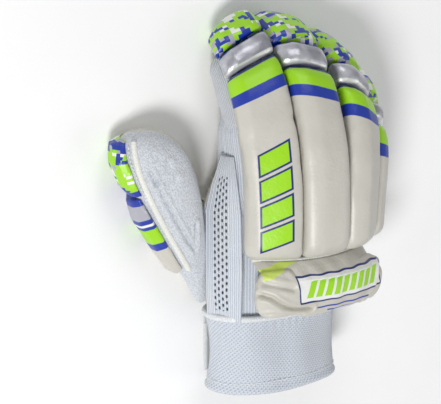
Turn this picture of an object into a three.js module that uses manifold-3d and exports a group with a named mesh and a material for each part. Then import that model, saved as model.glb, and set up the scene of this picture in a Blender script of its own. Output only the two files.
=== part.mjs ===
import * as THREE from 'three';
import { mergeVertices } from 'three/addons/utils/BufferGeometryUtils.js';
import Module from 'manifold-3d';

// A right-hand cricket batting glove lying palm down, in millimetres.
// +X runs from the thumb side to the little finger, +Y to the fingertips and
// +Z up through the back of the hand. The surface that it lies on is Z = 0.

// Cloth and leather
const LEATHER = 1.8;
const KNIT = 1.6;
const SEAM_GAP = 0.3;

// Wristband and strap
const CUFF_LENGTH = 46;
const CUFF_HALF_WIDTH = 44;
const CUFF_HEIGHT = 48;
const CUFF_CENTRE_X = -12;
const CUFF_SQUARENESS = 2.3;
const CUFF_FLATTENED = 2;
const STRAP_THICK = 2;
const STRAP_WIDTH = 30;
const PATCH_THICK = 0.9;

// Arch of the back of the hand, over the rolls
const ARCH_RADIUS = 70;
const ARCH_CENTRE_Z = 7;
const ROLL_THICK = 16;

// Wrist roll and the welt between it and the long rolls
const WRIST_ROLL_SETBACK = 2;
const WRIST_ROLL_WIDTH = 35;
const WRIST_ROLL_THICK = 18;
const WRIST_ROLL_HALF_LENGTH = 46.5;
const WRIST_ROLL_DROP = 13;
const WRIST_ROLL_SINK = 3.8;
const WELT = 3;

// Hand
const HAND_HALF_WIDTH = 56;
const PALM_CLEARANCE = 2.4;
const GUSSET_TOP = 45.5;
const GUSSET_LOW = 22;
const GUSSET_LEAN = 10.2;

// Thumb
const THUMB_LENGTH = 122;
const THUMB_REACH = 64;
const THUMB_THICK = 32;
const GUARD_THICK = 8;

// Fingers. Each has its arc on the arch from the thumb side in degrees, the
// length of its padding, how much of the full bend it has, how far it splays
// to the little finger's side and its bend leans to the thumb's side, where
// its long roll ends, how far its seams slant forward for each millimetre
// across, and the half width and sideways shift of its stall.
const FINGERS = [
  {
    name: 'index', from: -50, to: -17.5, length: 158, curl: 0.69, splay: -1.5, tilt: 0, roll: 0.76,
    slant: 0.2, stall: 13.2, shift: -9,
  },
  {
    name: 'middle', from: -17.5, to: 12, length: 168, curl: 0.88, splay: 0, tilt: 0, roll: 0.69,
    slant: -0.3, stall: 12.2, shift: 0,
  },
  {
    name: 'ring', from: 12, to: 39.5, length: 150, curl: 0.93, splay: 10, tilt: 14, roll: 0.64,
    slant: -0.35, stall: 11.4, shift: 0,
  },
  {
    name: 'little', from: 39.5, to: 63, length: 118, curl: 0.82, splay: 14, tilt: 18, roll: 0.58,
    slant: -0.25, stall: 10.6, shift: 0,
  },
];
const KNUCKLE_SHARE = 0.1;
const STALL_HALF_HEIGHT = 10;
const STALL_FROM = 0.42;
const STALL_TO = 0.9;
const TWIST_RELAX = 0.3;

// Places that follow from the sizes
const WRIST_ROLL_START_Y = CUFF_LENGTH + WRIST_ROLL_SETBACK;
const ROLL_START_Y = WRIST_ROLL_START_Y + WRIST_ROLL_WIDTH + WELT + 2 * SEAM_GAP;
const ROLL_MID_RADIUS = ARCH_RADIUS - ROLL_THICK / 2;
const HAND_ARCH_RADIUS = ARCH_RADIUS - ROLL_THICK - 2 * SEAM_GAP;
const STRAP_SPACE = STRAP_THICK + SEAM_GAP;

// Colours
const IVORY = 0xd9d6cc;
const WHITE = 0xdfe3e6;
const LEATHER_COLOUR = 0xc9c4b4;
const SILVER = 0xa9a9b2;
const LIME = 0xa5e01e;
const BLACK = 0x1c1c1e;

const DEGREE = Math.PI / 180;

const wasm = await Module();
wasm.setup();

const glove = new THREE.Group();
const pieces = new THREE.Group();
glove.add(pieces);

// Helpers on numbers
const mix = (a, b, share) => a + (b - a) * share;
const smooth = (from, to, value) => THREE.MathUtils.smoothstep(value, from, to);

// Reads a column of a table at a share that may lie between two rows
function column(rows, key, at) {
  const last = rows.length - 1;
  let i = 0;
  while (i < last - 1 && rows[i + 1].at < at) i += 1;
  const share = (at - rows[i].at) / (rows[i + 1].at - rows[i].at);
  return mix(rows[i][key], rows[i + 1][key], THREE.MathUtils.clamp(share, 0, 1));
}

// Puts the faces the right way out
function outward(position, index) {
  let volume = 0;
  const corner = (i) => new THREE.Vector3(position[3 * i], position[3 * i + 1], position[3 * i + 2]);
  for (let i = 0; i < index.length; i += 3) {
    const a = corner(index[i]);
    volume += a.dot(corner(index[i + 1]).cross(corner(index[i + 2])));
  }
  if (volume < 0) {
    for (let i = 0; i < index.length; i += 3) {
      [index[i + 1], index[i + 2]] = [index[i + 2], index[i + 1]];
    }
  }
  const geometry = new THREE.BufferGeometry();
  geometry.setAttribute('position', new THREE.Float32BufferAttribute(position, 3));
  geometry.setIndex(index);
  return geometry;
}

// A closed body through rings of points. With a cavity it is a hollow sleeve,
// open at its first ring and, with openEnd, at its last one too.
function loft(rings, cavity = null, openEnd = false) {
  const position = [];
  const index = [];
  const count = rings[0].length;
  const addRing = (ring) => {
    const first = position.length / 3;
    ring.forEach((p) => position.push(p.x, p.y, p.z));
    return first;
  };
  const band = (a, b) => {
    for (let k = 0; k < count; k += 1) {
      const next = (k + 1) % count;
      index.push(a + k, b + k, b + next, a + k, b + next, a + next);
    }
  };
  const cap = (ring, first, flip) => {
    const centre = new THREE.Vector3();
    ring.forEach((p) => centre.add(p));
    centre.divideScalar(count);
    const hub = position.length / 3;
    position.push(centre.x, centre.y, centre.z);
    for (let k = 0; k < count; k += 1) {
      const next = (k + 1) % count;
      if (flip) index.push(hub, first + k, first + next);
      else index.push(hub, first + next, first + k);
    }
  };
  const outer = rings.map(addRing);
  for (let i = 1; i < outer.length; i += 1) band(outer[i - 1], outer[i]);
  if (!cavity) {
    cap(rings[0], outer[0], true);
    cap(rings.at(-1), outer.at(-1), false);
    return outward(position, index);
  }
  const inner = cavity.map(addRing);
  for (let i = 1; i < inner.length; i += 1) band(inner[i], inner[i - 1]);
  band(inner[0], outer[0]);
  if (openEnd) {
    band(outer.at(-1), inner.at(-1));
  } else {
    cap(rings.at(-1), outer.at(-1), false);
    cap(cavity.at(-1), inner.at(-1), true);
  }
  return outward(position, index);
}

// A plate that lies on a surface given by at(row, side, rise). Its rows and
// sides are those of the surface, so that the faces of the two run alike.
function plate(at, rows, sides, thickness) {
  const position = [];
  const index = [];
  const lastRow = rows.length - 1;
  const lastSide = sides.length - 1;
  const id = (layer, i, j) => (layer * rows.length + i) * sides.length + j;
  for (let layer = 0; layer < 2; layer += 1) {
    rows.forEach((row, i) => sides.forEach((side, j) => {
      const rise = SEAM_GAP + layer * thickness(i / lastRow, j / lastSide);
      const p = at(row, side, rise);
      position.push(p.x, p.y, p.z);
    }));
  }
  const quad = (a, b, c, d) => index.push(a, b, c, a, c, d);
  for (let i = 0; i < lastRow; i += 1) {
    for (let j = 0; j < lastSide; j += 1) {
      quad(id(0, i, j), id(0, i + 1, j), id(0, i + 1, j + 1), id(0, i, j + 1));
      quad(id(1, i, j), id(1, i, j + 1), id(1, i + 1, j + 1), id(1, i + 1, j));
    }
    quad(id(0, i, 0), id(1, i, 0), id(1, i + 1, 0), id(0, i + 1, 0));
    quad(id(0, i + 1, lastSide), id(1, i + 1, lastSide), id(1, i, lastSide), id(0, i, lastSide));
  }
  for (let j = 0; j < lastSide; j += 1) {
    quad(id(0, 0, j + 1), id(1, 0, j + 1), id(1, 0, j), id(0, 0, j));
    quad(id(0, lastRow, j), id(1, lastRow, j), id(1, lastRow, j + 1), id(0, lastRow, j + 1));
  }
  return outward(position, index);
}

// Solids to cut and join, and back to a geometry
function toSolid(geometry) {
  const bare = geometry.clone();
  bare.deleteAttribute('normal');
  bare.deleteAttribute('uv');
  const merged = mergeVertices(bare, 1e-4);
  return new wasm.Manifold(new wasm.Mesh({
    numProp: 3,
    vertProperties: new Float32Array(merged.attributes.position.array),
    triVerts: new Uint32Array(merged.index.array),
  }));
}

function toGeometry(solid) {
  const mesh = solid.getMesh();
  const geometry = new THREE.BufferGeometry();
  geometry.setAttribute('position', new THREE.BufferAttribute(mesh.vertProperties, 3));
  geometry.setIndex(new THREE.BufferAttribute(mesh.triVerts, 1));
  return geometry;
}

function add(name, geometry, color, roughness, metalness = 0) {
  const material = new THREE.MeshStandardMaterial({ color, roughness, metalness });
  const mesh = new THREE.Mesh(geometry, material);
  mesh.name = name;
  pieces.add(mesh);
}

// A point on the arch of the back of the hand
function archPoint(angle, radius) {
  return {
    x: radius * Math.sin(angle * DEGREE),
    z: ARCH_CENTRE_Z + radius * Math.cos(angle * DEGREE),
  };
}

// How far each finger has turned down at a share of its length, in degrees
const BEND = [
  { at: 0.0, pitch: 0 },
  { at: 0.15, pitch: 0 },
  { at: 0.3, pitch: 7 },
  { at: 0.45, pitch: 16 },
  { at: 0.6, pitch: 27 },
  { at: 0.7, pitch: 41 },
  { at: 0.8, pitch: 60 },
  { at: 0.9, pitch: 74 },
  { at: 1.0, pitch: 84 },
];
const LINE_STEPS = 80;

// The middle line of a finger's padding, walked step by step
function fingerLine(finger) {
  const angle = (finger.from + finger.to) / 2;
  const start = archPoint(angle, ROLL_MID_RADIUS);
  const place = new THREE.Vector3(start.x, ROLL_START_Y, start.z);
  const frames = [];
  const step = finger.length / LINE_STEPS;
  for (let i = 0; i <= LINE_STEPS; i += 1) {
    const at = i / LINE_STEPS;
    const pitch = column(BEND, 'pitch', at) * finger.curl * DEGREE;
    const lean = finger.splay * smooth(0.05, 0.35, at) * DEGREE;
    const twist = angle * (1 - TWIST_RELAX * smooth(0.2, 0.65, at)) * DEGREE;
    const forward = new THREE.Vector3(Math.sin(lean), Math.cos(lean), 0);
    const down = new THREE.Vector3(-Math.sin(finger.tilt * DEGREE), 0, -Math.cos(finger.tilt * DEGREE));
    down.addScaledVector(forward, -down.dot(forward)).normalize();
    const along = forward.clone().multiplyScalar(Math.cos(pitch)).addScaledVector(down, Math.sin(pitch));
    const upright = forward.clone().multiplyScalar(Math.sin(pitch)).addScaledVector(down, -Math.cos(pitch));
    const rise = upright.applyAxisAngle(along, -finger.tilt * DEGREE * Math.cos(pitch));
    const across = new THREE.Vector3().crossVectors(along, rise);
    const normal = rise.clone().multiplyScalar(Math.cos(twist)).addScaledVector(across, Math.sin(twist));
    const side = across.clone().multiplyScalar(Math.cos(twist)).addScaledVector(rise, -Math.sin(twist));
    frames.push({ place: place.clone(), along, normal, side });
    place.addScaledVector(along, step);
  }
  return frames;
}

// The frame at any share of a finger, between two steps of its line
function frameAt(frames, at) {
  const exact = THREE.MathUtils.clamp(at, 0, 1) * LINE_STEPS;
  const i = Math.min(Math.floor(exact), LINE_STEPS - 1);
  const share = exact - i;
  const blend = (key) => frames[i][key].clone().lerp(frames[i + 1][key], share);
  return { place: blend('place'), normal: blend('normal').normalize(), side: blend('side').normalize() };
}

// Outline of a back pad, as shares of its half width and of its height.
// The ridge lies nearer to the thumb side.
const PAD_OUTLINE = [
  { across: -0.84, up: 0 },
  { across: 0.84, up: 0 },
  { across: 0.99, up: 0.16 },
  { across: 1.0, up: 0.42 },
  { across: 0.9, up: 0.68 },
  { across: 0.6, up: 0.88 },
  { across: 0.12, up: 0.98 },
  { across: -0.34, up: 1 },
  { across: -0.7, up: 0.86 },
  { across: -0.94, up: 0.6 },
  { across: -1.0, up: 0.36 },
  { across: -0.97, up: 0.14 },
];

// Sections of the pads, as shares of the pad's length, width and thickness.
// under is how far the pad reaches below its seat, as a share of the thickness.
const ROLL_SECTIONS = [
  { at: 0.0, width: 0.92, height: 0.5, under: 0 },
  { at: 0.025, width: 0.98, height: 0.82, under: 0 },
  { at: 0.07, width: 1.0, height: 0.98, under: 0 },
  { at: 0.25, width: 1.0, height: 1.0, under: 0 },
  { at: 0.42, width: 1.0, height: 1.0, under: 0 },
  { at: 0.58, width: 1.0, height: 1.0, under: 0 },
  { at: 0.72, width: 1.0, height: 1.0, under: 0 },
  { at: 0.85, width: 1.0, height: 0.98, under: 0 },
  { at: 0.95, width: 0.99, height: 0.9, under: 0 },
  { at: 1.0, width: 0.95, height: 0.66, under: 0 },
];
const KNUCKLE_SECTIONS = [
  { at: 0.0, width: 0.94, height: 0.62, under: 0 },
  { at: 0.16, width: 0.98, height: 0.84, under: 0 },
  { at: 0.5, width: 0.99, height: 0.9, under: 0 },
  { at: 0.84, width: 0.97, height: 0.84, under: 0 },
  { at: 1.0, width: 0.92, height: 0.6, under: 0 },
];
const TIP_SECTIONS = [
  { at: 0.0, width: 0.92, height: 0.6, under: 0 },
  { at: 0.09, width: 0.95, height: 0.82, under: 0 },
  { at: 0.3, width: 0.93, height: 0.84, under: 0 },
  { at: 0.52, width: 0.86, height: 0.8, under: 0 },
  { at: 0.7, width: 0.77, height: 0.74, under: 0 },
  { at: 0.8, width: 0.7, height: 0.68, under: 0.5 },
  { at: 0.93, width: 0.56, height: 0.52, under: 0.5 },
  { at: 1.0, width: 0.34, height: 0.24, under: 0.3 },
];

function padRings({ finger, frames }, from, to, sections) {
  const halfAngle = (finger.to - finger.from) / 2 * DEGREE;
  const slant = finger.slant * ROLL_MID_RADIUS * Math.tan(halfAngle) / finger.length;
  return sections.map((section) => {
    const at = mix(from, to, section.at);
    const low = -ROLL_THICK / 2 - section.under * ROLL_THICK;
    const high = -ROLL_THICK / 2 + section.height * ROLL_THICK;
    return PAD_OUTLINE.map((corner) => {
      const height = mix(low, high, corner.up);
      const frame = frameAt(frames, at + corner.across * slant * smooth(0.25, 0.6, at));
      const room = (ROLL_MID_RADIUS + Math.max(height, -ROLL_THICK / 2)) * Math.tan(halfAngle) - SEAM_GAP;
      return frame.place.clone()
        .addScaledVector(frame.side, corner.across * section.width * room)
        .addScaledVector(frame.normal, height);
    });
  });
}

// Sections of a finger stall, as shares of its length and of its half sizes
const STALL_SECTIONS = [
  { at: 0.0, wide: 0.76, high: 0.88 },
  { at: 0.14, wide: 0.84, high: 0.92 },
  { at: 0.3, wide: 0.94, high: 0.97 },
  { at: 0.46, wide: 1.0, high: 1.0 },
  { at: 0.62, wide: 1.0, high: 1.0 },
  { at: 0.76, wide: 0.98, high: 0.98 },
  { at: 0.88, wide: 0.9, high: 0.92 },
  { at: 0.96, wide: 0.7, high: 0.74 },
  { at: 1.0, wide: 0.4, high: 0.42 },
];
const STALL_SIDES = 14;

// A point of a finger stall's outside, grown by rise. Turn 0 is the side to
// the little finger and three quarters of a turn the palm side.
function stallPoint({ finger, frames }, at, turn, rise, section = at) {
  const frame = frameAt(frames, mix(STALL_FROM, STALL_TO, at));
  const wide = column(STALL_SECTIONS, 'wide', section) * finger.stall + rise;
  const high = column(STALL_SECTIONS, 'high', section) * STALL_HALF_HEIGHT + rise;
  return frame.place.clone()
    .addScaledVector(frame.normal, -ROLL_THICK / 2 - SEAM_GAP - STALL_HALF_HEIGHT + high * Math.sin(turn))
    .addScaledVector(frame.side, finger.shift + wide * Math.cos(turn));
}

function stallRing(line, at, rise, section = at) {
  const ring = [];
  for (let k = 0; k < STALL_SIDES; k += 1) {
    ring.push(stallPoint(line, at, 2 * Math.PI * k / STALL_SIDES, rise, section));
  }
  return ring;
}

function fingerStall(line) {
  const outer = STALL_SECTIONS.map((s) => stallRing(line, s.at, 0));
  const reach = 1 - 2 * LEATHER / (line.finger.length * (STALL_TO - STALL_FROM));
  const cavity = STALL_SECTIONS.slice(0, -1).map((s) => stallRing(line, s.at * reach, -LEATHER, s.at));
  return loft(outer, cavity);
}

// Outline of the wristband at a direction from its centre, flat underneath
function cuffPoint(direction, grow) {
  const c = Math.cos(direction);
  const s = Math.sin(direction);
  const halfHeight = CUFF_HEIGHT / 2;
  const power = CUFF_SQUARENESS;
  const reach = (Math.abs(c / (CUFF_HALF_WIDTH + grow)) ** power
    + Math.abs(s / (halfHeight + grow)) ** power) ** (-1 / power);
  const centreZ = STRAP_SPACE + halfHeight - CUFF_FLATTENED;
  return { x: CUFF_CENTRE_X + reach * c, z: Math.max(centreZ + reach * s, STRAP_SPACE - grow) };
}

// Sections of the wristband from its open end to the hand, with its growth
// as a share of the knit
const CUFF_SECTIONS = [
  { at: 0.0, grow: 0.5 },
  { at: 0.06, grow: 0.3 },
  { at: 0.5, grow: -0.5 },
  { at: 0.94, grow: 0.1 },
  { at: 1.0, grow: 0.4 },
];
const CUFF_SIDES = 32;

function wristband() {
  const rings = (inset) => CUFF_SECTIONS.map((section) => {
    const ring = [];
    for (let k = 0; k < CUFF_SIDES; k += 1) {
      const p = cuffPoint(2 * Math.PI * k / CUFF_SIDES, section.grow * KNIT * (1 - inset) - inset * KNIT);
      ring.push(new THREE.Vector3(p.x, section.at * CUFF_LENGTH, p.z));
    }
    return ring;
  });
  return loft(rings(0), rings(1), true);
}

// Outline of the hand below its arch, from the thumb side round to the little
// finger, as shares of the hand's half width and of the arch's radius
const HAND_UNDER = [
  { x: -0.85, z: 0.47 },
  { x: -0.92, z: 0.375 },
  { x: -0.985, z: 0.25 },
  { x: -1.01, z: 0.13 },
  { x: -0.965, z: 0.035 },
  { x: -0.85, z: 0.0 },
  { x: -0.66, z: 0.01 },
  { x: -0.45, z: 0.045 },
  { x: -0.22, z: 0.085 },
  { x: 0.02, z: 0.11 },
  { x: 0.26, z: 0.12 },
  { x: 0.48, z: 0.125 },
  { x: 0.66, z: 0.15 },
  { x: 0.77, z: 0.22 },
  { x: 0.815, z: 0.32 },
];
const HAND_ARC_STEPS = 15;
const HAND_ARC_FROM = 58;
const HAND_ARC_TO = -50;

// The line of the finger crotches, in front of the rolls' seam, as a share of
// the middle finger's length. at is the share of the hand's half width.
const CROTCH = [
  { at: -1.1, reach: 0.366 },
  { at: -0.6, reach: 0.395 },
  { at: -0.1, reach: 0.43 },
  { at: 0.35, reach: 0.384 },
  { at: 0.9, reach: 0.297 },
];

function crotchY(at) {
  return ROLL_START_Y + column(CROTCH, 'reach', at) * FINGERS[1].length;
}

// Sections of the hand from the wrist to the crotches. arch is how far the
// wristband's oval has become the arch, droop how far the back has sunk,
// lift how far the palm has risen, and narrow how far the thumb side has come in.
const HAND_SECTIONS = [
  { at: 0.0, arch: 0.0, droop: 0, lift: 0, narrow: 0 },
  { at: 0.12, arch: 0.35, droop: 0, lift: 0, narrow: 0 },
  { at: 0.34, arch: 1.0, droop: 0, lift: 0, narrow: 0 },
  { at: 0.52, arch: 1.0, droop: 0.004, lift: 0.04, narrow: 0.0 },
  { at: 0.68, arch: 1.0, droop: 0.02, lift: 0.12, narrow: 0.02 },
  { at: 0.84, arch: 1.0, droop: 0.055, lift: 0.24, narrow: 0.1 },
  { at: 1.0, arch: 1.0, droop: 0.11, lift: 0.38, narrow: 0.18 },
];

function handCorners() {
  const corners = [];
  for (let k = 0; k < HAND_ARC_STEPS; k += 1) {
    const angle = mix(HAND_ARC_FROM, HAND_ARC_TO, k / (HAND_ARC_STEPS - 1));
    corners.push({ ...archPoint(angle, HAND_ARCH_RADIUS), top: true });
  }
  HAND_UNDER.forEach((p) => corners.push({
    x: p.x * HAND_HALF_WIDTH, z: PALM_CLEARANCE + p.z * ARCH_RADIUS, top: false,
  }));
  return corners;
}

const HAND_CORNERS = handCorners();

// One ring of the hand at a share of its length, moved in by inset
function handRing(at, inset) {
  const row = (key) => column(HAND_SECTIONS, key, at);
  const flat = HAND_CORNERS.map((corner) => {
    const direction = Math.atan2(corner.z - STRAP_SPACE - CUFF_HEIGHT / 2, corner.x - CUFF_CENTRE_X / 2);
    const cuff = cuffPoint(direction, -1.5 * KNIT);
    const droop = row('droop') * ARCH_RADIUS;
    const left = Math.max(0, -corner.x / HAND_HALF_WIDTH - 0.3);
    const x = corner.x + left * row('narrow') * HAND_HALF_WIDTH;
    const under = corner.top ? 0 : Math.max(0, 1 - corner.z / (0.6 * ARCH_RADIUS));
    const z = corner.z - droop + under * (row('lift') * ARCH_RADIUS + droop);
    return { x: mix(cuff.x, x, row('arch')), z: mix(cuff.z, z, row('arch')) };
  });
  const count = flat.length;
  return flat.map((p, k) => {
    const before = flat[(k + count - 1) % count];
    const after = flat[(k + 1) % count];
    const run = Math.hypot(after.x - before.x, after.z - before.z);
    const x = p.x - inset * (after.z - before.z) / run;
    const z = p.z + inset * (after.x - before.x) / run;
    const crotch = crotchY(p.x / HAND_HALF_WIDTH);
    const front = at === 1 ? Math.max(inset, 0) : 0;
    return new THREE.Vector3(x, mix(CUFF_LENGTH + SEAM_GAP, crotch, at) - front, z);
  });
}

// A point of the hand's outside at a corner that may lie between two others
function handPoint(at, corner, rise) {
  const ring = handRing(at, -rise);
  const k = Math.floor(corner);
  return ring[k].clone().lerp(ring[(k + 1) % ring.length], corner - k);
}

// The thumb between its outer and inner edges, seen from above, as shares of
// its reach from the hand and of its length, with its thickness and its lift
const THUMB_SECTIONS = [
  { at: 0.0, outReach: -0.07, outAlong: 0.06, inReach: -0.07, inAlong: 0.56, thick: 0.5, lift: 0.09 },
  { at: 0.08, outReach: 0.02, outAlong: 0.04, inReach: 0.02, inAlong: 0.6, thick: 0.57, lift: 0.06 },
  { at: 0.2, outReach: 0.12, outAlong: 0.16, inReach: 0.05, inAlong: 0.63, thick: 0.71, lift: 0.04 },
  { at: 0.34, outReach: 0.32, outAlong: 0.3, inReach: 0.08, inAlong: 0.665, thick: 0.85, lift: 0.05 },
  { at: 0.48, outReach: 0.5, outAlong: 0.435, inReach: 0.12, inAlong: 0.715, thick: 0.94, lift: 0.06 },
  { at: 0.62, outReach: 0.68, outAlong: 0.58, inReach: 0.17, inAlong: 0.78, thick: 1.0, lift: 0.06 },
  { at: 0.75, outReach: 0.845, outAlong: 0.73, inReach: 0.23, inAlong: 0.85, thick: 0.98, lift: 0.06 },
  { at: 0.86, outReach: 0.94, outAlong: 0.865, inReach: 0.31, inAlong: 0.915, thick: 0.9, lift: 0.08 },
  { at: 0.95, outReach: 0.92, outAlong: 0.95, inReach: 0.42, inAlong: 0.965, thick: 0.72, lift: 0.1 },
  { at: 1.0, outReach: 0.82, outAlong: 0.985, inReach: 0.56, inAlong: 0.995, thick: 0.42, lift: 0.22 },
];
const THUMB_SIDES = 18;

// A point of the thumb's outside, grown by rise. Turn 0 is the outer edge and
// a quarter turn is the top.
function thumbPoint(at, turn, rise) {
  const row = (key) => column(THUMB_SECTIONS, key, at);
  const baseY = CUFF_LENGTH;
  const outer = new THREE.Vector3(
    -HAND_HALF_WIDTH - row('outReach') * THUMB_REACH, baseY + row('outAlong') * THUMB_LENGTH, 0);
  const inner = new THREE.Vector3(
    -HAND_HALF_WIDTH - row('inReach') * THUMB_REACH, baseY + row('inAlong') * THUMB_LENGTH, 0);
  const halfThick = row('thick') * THUMB_THICK / 2;
  const centre = outer.clone().lerp(inner, 0.5).setZ(row('lift') * THUMB_THICK + halfThick);
  const out = outer.clone().sub(inner);
  const halfWidth = out.length() / 2;
  out.normalize();
  return centre
    .addScaledVector(out, (halfWidth + rise) * Math.cos(turn))
    .add(new THREE.Vector3(0, 0, (halfThick + rise) * Math.sin(turn)));
}

function thumbRing(at, rise) {
  const ring = [];
  for (let k = 0; k < THUMB_SIDES; k += 1) {
    ring.push(thumbPoint(at, 2 * Math.PI * k / THUMB_SIDES, rise));
  }
  return ring;
}

function thumbStall() {
  const outer = THUMB_SECTIONS.map((s) => thumbRing(s.at, 0));
  const cavity = THUMB_SECTIONS.slice(0, -1).map((s) => thumbRing(s.at * 0.99, -LEATHER));
  return loft(outer, cavity);
}

// The side panel, from the edge of the index roll down to the thumb
const GUSSET_SECTIONS = [
  { at: 0.0, top: 0.96, low: 0.04, sink: 0 },
  { at: 0.3, top: 1.0, low: 0.0, sink: 0 },
  { at: 0.66, top: 1.0, low: 0.04, sink: 0.02 },
  { at: 0.82, top: 0.97, low: 0.26, sink: 0.05 },
  { at: 1.0, top: 0.93, low: 0.62, sink: 0.1 },
];
const GUSSET_TOP_X = -48.3;
const GUSSET_LENGTH = crotchY(-1.1) - CUFF_LENGTH - SEAM_GAP;

function gussetEdge(at, up, depth) {
  const rise = GUSSET_TOP - GUSSET_LOW;
  const slope = Math.hypot(rise, GUSSET_LEAN);
  const x = GUSSET_TOP_X - GUSSET_LEAN * (1 - up) + depth * rise / slope;
  const z = GUSSET_LOW + rise * up - depth * GUSSET_LEAN / slope;
  const y = CUFF_LENGTH + SEAM_GAP + at * GUSSET_LENGTH;
  return new THREE.Vector3(x, y, z - column(GUSSET_SECTIONS, 'sink', at) * ARCH_RADIUS);
}

// Eyelets in staggered columns across the lower part of the panel, fewer
// where it narrows. up is a column's place between the low and the top edge,
// from and to are shares of the panel's length.
const EYELET_COLUMNS = [
  { up: 0.1, from: 0.08, to: 0.74 },
  { up: 0.21, from: 0.08, to: 0.82 },
  { up: 0.32, from: 0.08, to: 0.88 },
  { up: 0.43, from: 0.08, to: 0.88 },
  { up: 0.54, from: 0.08, to: 0.82 },
];
const EYELET_PITCH = 5.4;
const EYELET_HALF_WIDTH = 1.0;
const EYELET_HALF_LENGTH = 1.5;

// A four-sided punch through the panel at a share of its length
function eyelet(at, up) {
  const low = column(GUSSET_SECTIONS, 'low', at);
  const top = column(GUSSET_SECTIONS, 'top', at);
  const height = mix(low, top, up);
  const high = EYELET_HALF_WIDTH / (GUSSET_TOP - GUSSET_LOW);
  const long = EYELET_HALF_LENGTH / GUSSET_LENGTH;
  const ring = (depth) => [
    gussetEdge(at - long, height, depth), gussetEdge(at, height + high, depth),
    gussetEdge(at + long, height, depth), gussetEdge(at, height - high, depth),
  ];
  return toSolid(loft([ring(-KNIT), ring(2 * KNIT)]));
}

function meshGusset() {
  const rings = GUSSET_SECTIONS.map((s) => [
    gussetEdge(s.at, s.top, 0), gussetEdge(s.at, s.low, 0),
    gussetEdge(s.at, s.low, KNIT), gussetEdge(s.at, s.top, KNIT),
  ]);
  let panel = toSolid(loft(rings));
  EYELET_COLUMNS.forEach((eyelets, i) => {
    const step = EYELET_PITCH / GUSSET_LENGTH;
    for (let at = eyelets.from + (i % 2) * step / 2; at < eyelets.to; at += step) {
      panel = panel.subtract(eyelet(at, eyelets.up));
    }
  });
  return toGeometry(panel);
}

// The window in the hand behind the eyelets
const WINDOW_SECTIONS = [
  { at: 0.06, low: 0.12, top: 0.62 },
  { at: 0.5, low: 0.12, top: 0.62 },
  { at: 0.8, low: 0.3, top: 0.62 },
];
const WINDOW_DEPTH = 9;

function meshWindow() {
  return toSolid(loft(WINDOW_SECTIONS.map((s) => [
    gussetEdge(s.at, s.top, 0), gussetEdge(s.at, s.low, 0),
    gussetEdge(s.at, s.low, WINDOW_DEPTH), gussetEdge(s.at, s.top, WINDOW_DEPTH),
  ])));
}

// The thumb's mouth in the side of the hand, cut clear of the thumb's base
const MOUTH_DEPTH = 8;

function thumbMouth() {
  const base = [0, 0.08, 0.16].map((at) => thumbRing(at, SEAM_GAP));
  const inside = base[0].map((p) => p.clone().setX(p.x + MOUTH_DEPTH));
  return toSolid(loft([inside, ...base]));
}

// The hand with its cavity, its mesh window and the mouths of all the fingers
function handBody(lines) {
  const outer = HAND_SECTIONS.map((s) => handRing(s.at, 0));
  const cavity = HAND_SECTIONS.map((s) => handRing(s.at, LEATHER));
  let hand = toSolid(loft(outer, cavity));
  lines.forEach((line) => {
    const cutter = [-0.12, 0, 0.14, 0.3].map((at) => stallRing(line, at, SEAM_GAP));
    hand = hand.subtract(toSolid(loft(cutter)));
  });
  hand = hand.subtract(thumbMouth()).subtract(meshWindow());
  return toGeometry(hand);
}

// Sections of the wrist roll from the thumb side across the wrist
const WRIST_ROLL_SECTIONS = [
  { at: -1.0, width: 0.5, thick: 0.45 },
  { at: -0.94, width: 0.84, thick: 0.78 },
  { at: -0.8, width: 0.97, thick: 0.95 },
  { at: -0.45, width: 1.0, thick: 1.0 },
  { at: 0.0, width: 1.0, thick: 1.0 },
  { at: 0.45, width: 0.98, thick: 0.98 },
  { at: 0.78, width: 0.92, thick: 0.9 },
  { at: 0.93, width: 0.76, thick: 0.72 },
  { at: 1.0, width: 0.4, thick: 0.4 },
];
const WRIST_ROLL_SIDES = 14;
const WRIST_ROLL_CENTRE_X = 1;

function wristRoll() {
  const centreY = WRIST_ROLL_START_Y + WRIST_ROLL_WIDTH / 2;
  const seat = ARCH_CENTRE_Z + HAND_ARCH_RADIUS - WRIST_ROLL_SINK;
  const rings = WRIST_ROLL_SECTIONS.map((section) => {
    const x = WRIST_ROLL_CENTRE_X + section.at * WRIST_ROLL_HALF_LENGTH;
    const z = seat + WRIST_ROLL_THICK / 2 - WRIST_ROLL_DROP * section.at ** 2;
    const slope = Math.atan(2 * WRIST_ROLL_DROP * section.at / WRIST_ROLL_HALF_LENGTH);
    const rise = new THREE.Vector3(Math.sin(slope), 0, Math.cos(slope));
    const ring = [];
    for (let k = 0; k < WRIST_ROLL_SIDES; k += 1) {
      const turn = 2 * Math.PI * k / WRIST_ROLL_SIDES;
      ring.push(new THREE.Vector3(x, centreY, z)
        .addScaledVector(new THREE.Vector3(0, 1, 0), section.width * WRIST_ROLL_WIDTH / 2 * Math.cos(turn))
        .addScaledVector(rise, section.thick * WRIST_ROLL_THICK / 2 * Math.sin(turn)));
    }
    return ring;
  });
  return loft(rings);
}

// The piped seam that lies on the hand just behind the long rolls
const WELT_FROM = -45;
const WELT_TO = 54;
const WELT_STEPS = 14;

function rollWelt() {
  const points = [];
  for (let k = 0; k <= WELT_STEPS; k += 1) {
    const p = archPoint(mix(WELT_FROM, WELT_TO, k / WELT_STEPS), HAND_ARCH_RADIUS + SEAM_GAP + WELT / 2);
    points.push(new THREE.Vector3(p.x, ROLL_START_Y - SEAM_GAP - WELT / 2, p.z));
  }
  const section = new THREE.Shape().absarc(0, 0, WELT / 2, 0, 2 * Math.PI);
  return new THREE.ExtrudeGeometry(section, {
    extrudePath: new THREE.CatmullRomCurve3(points), steps: WELT_STEPS, curveSegments: 4,
  });
}

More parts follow.
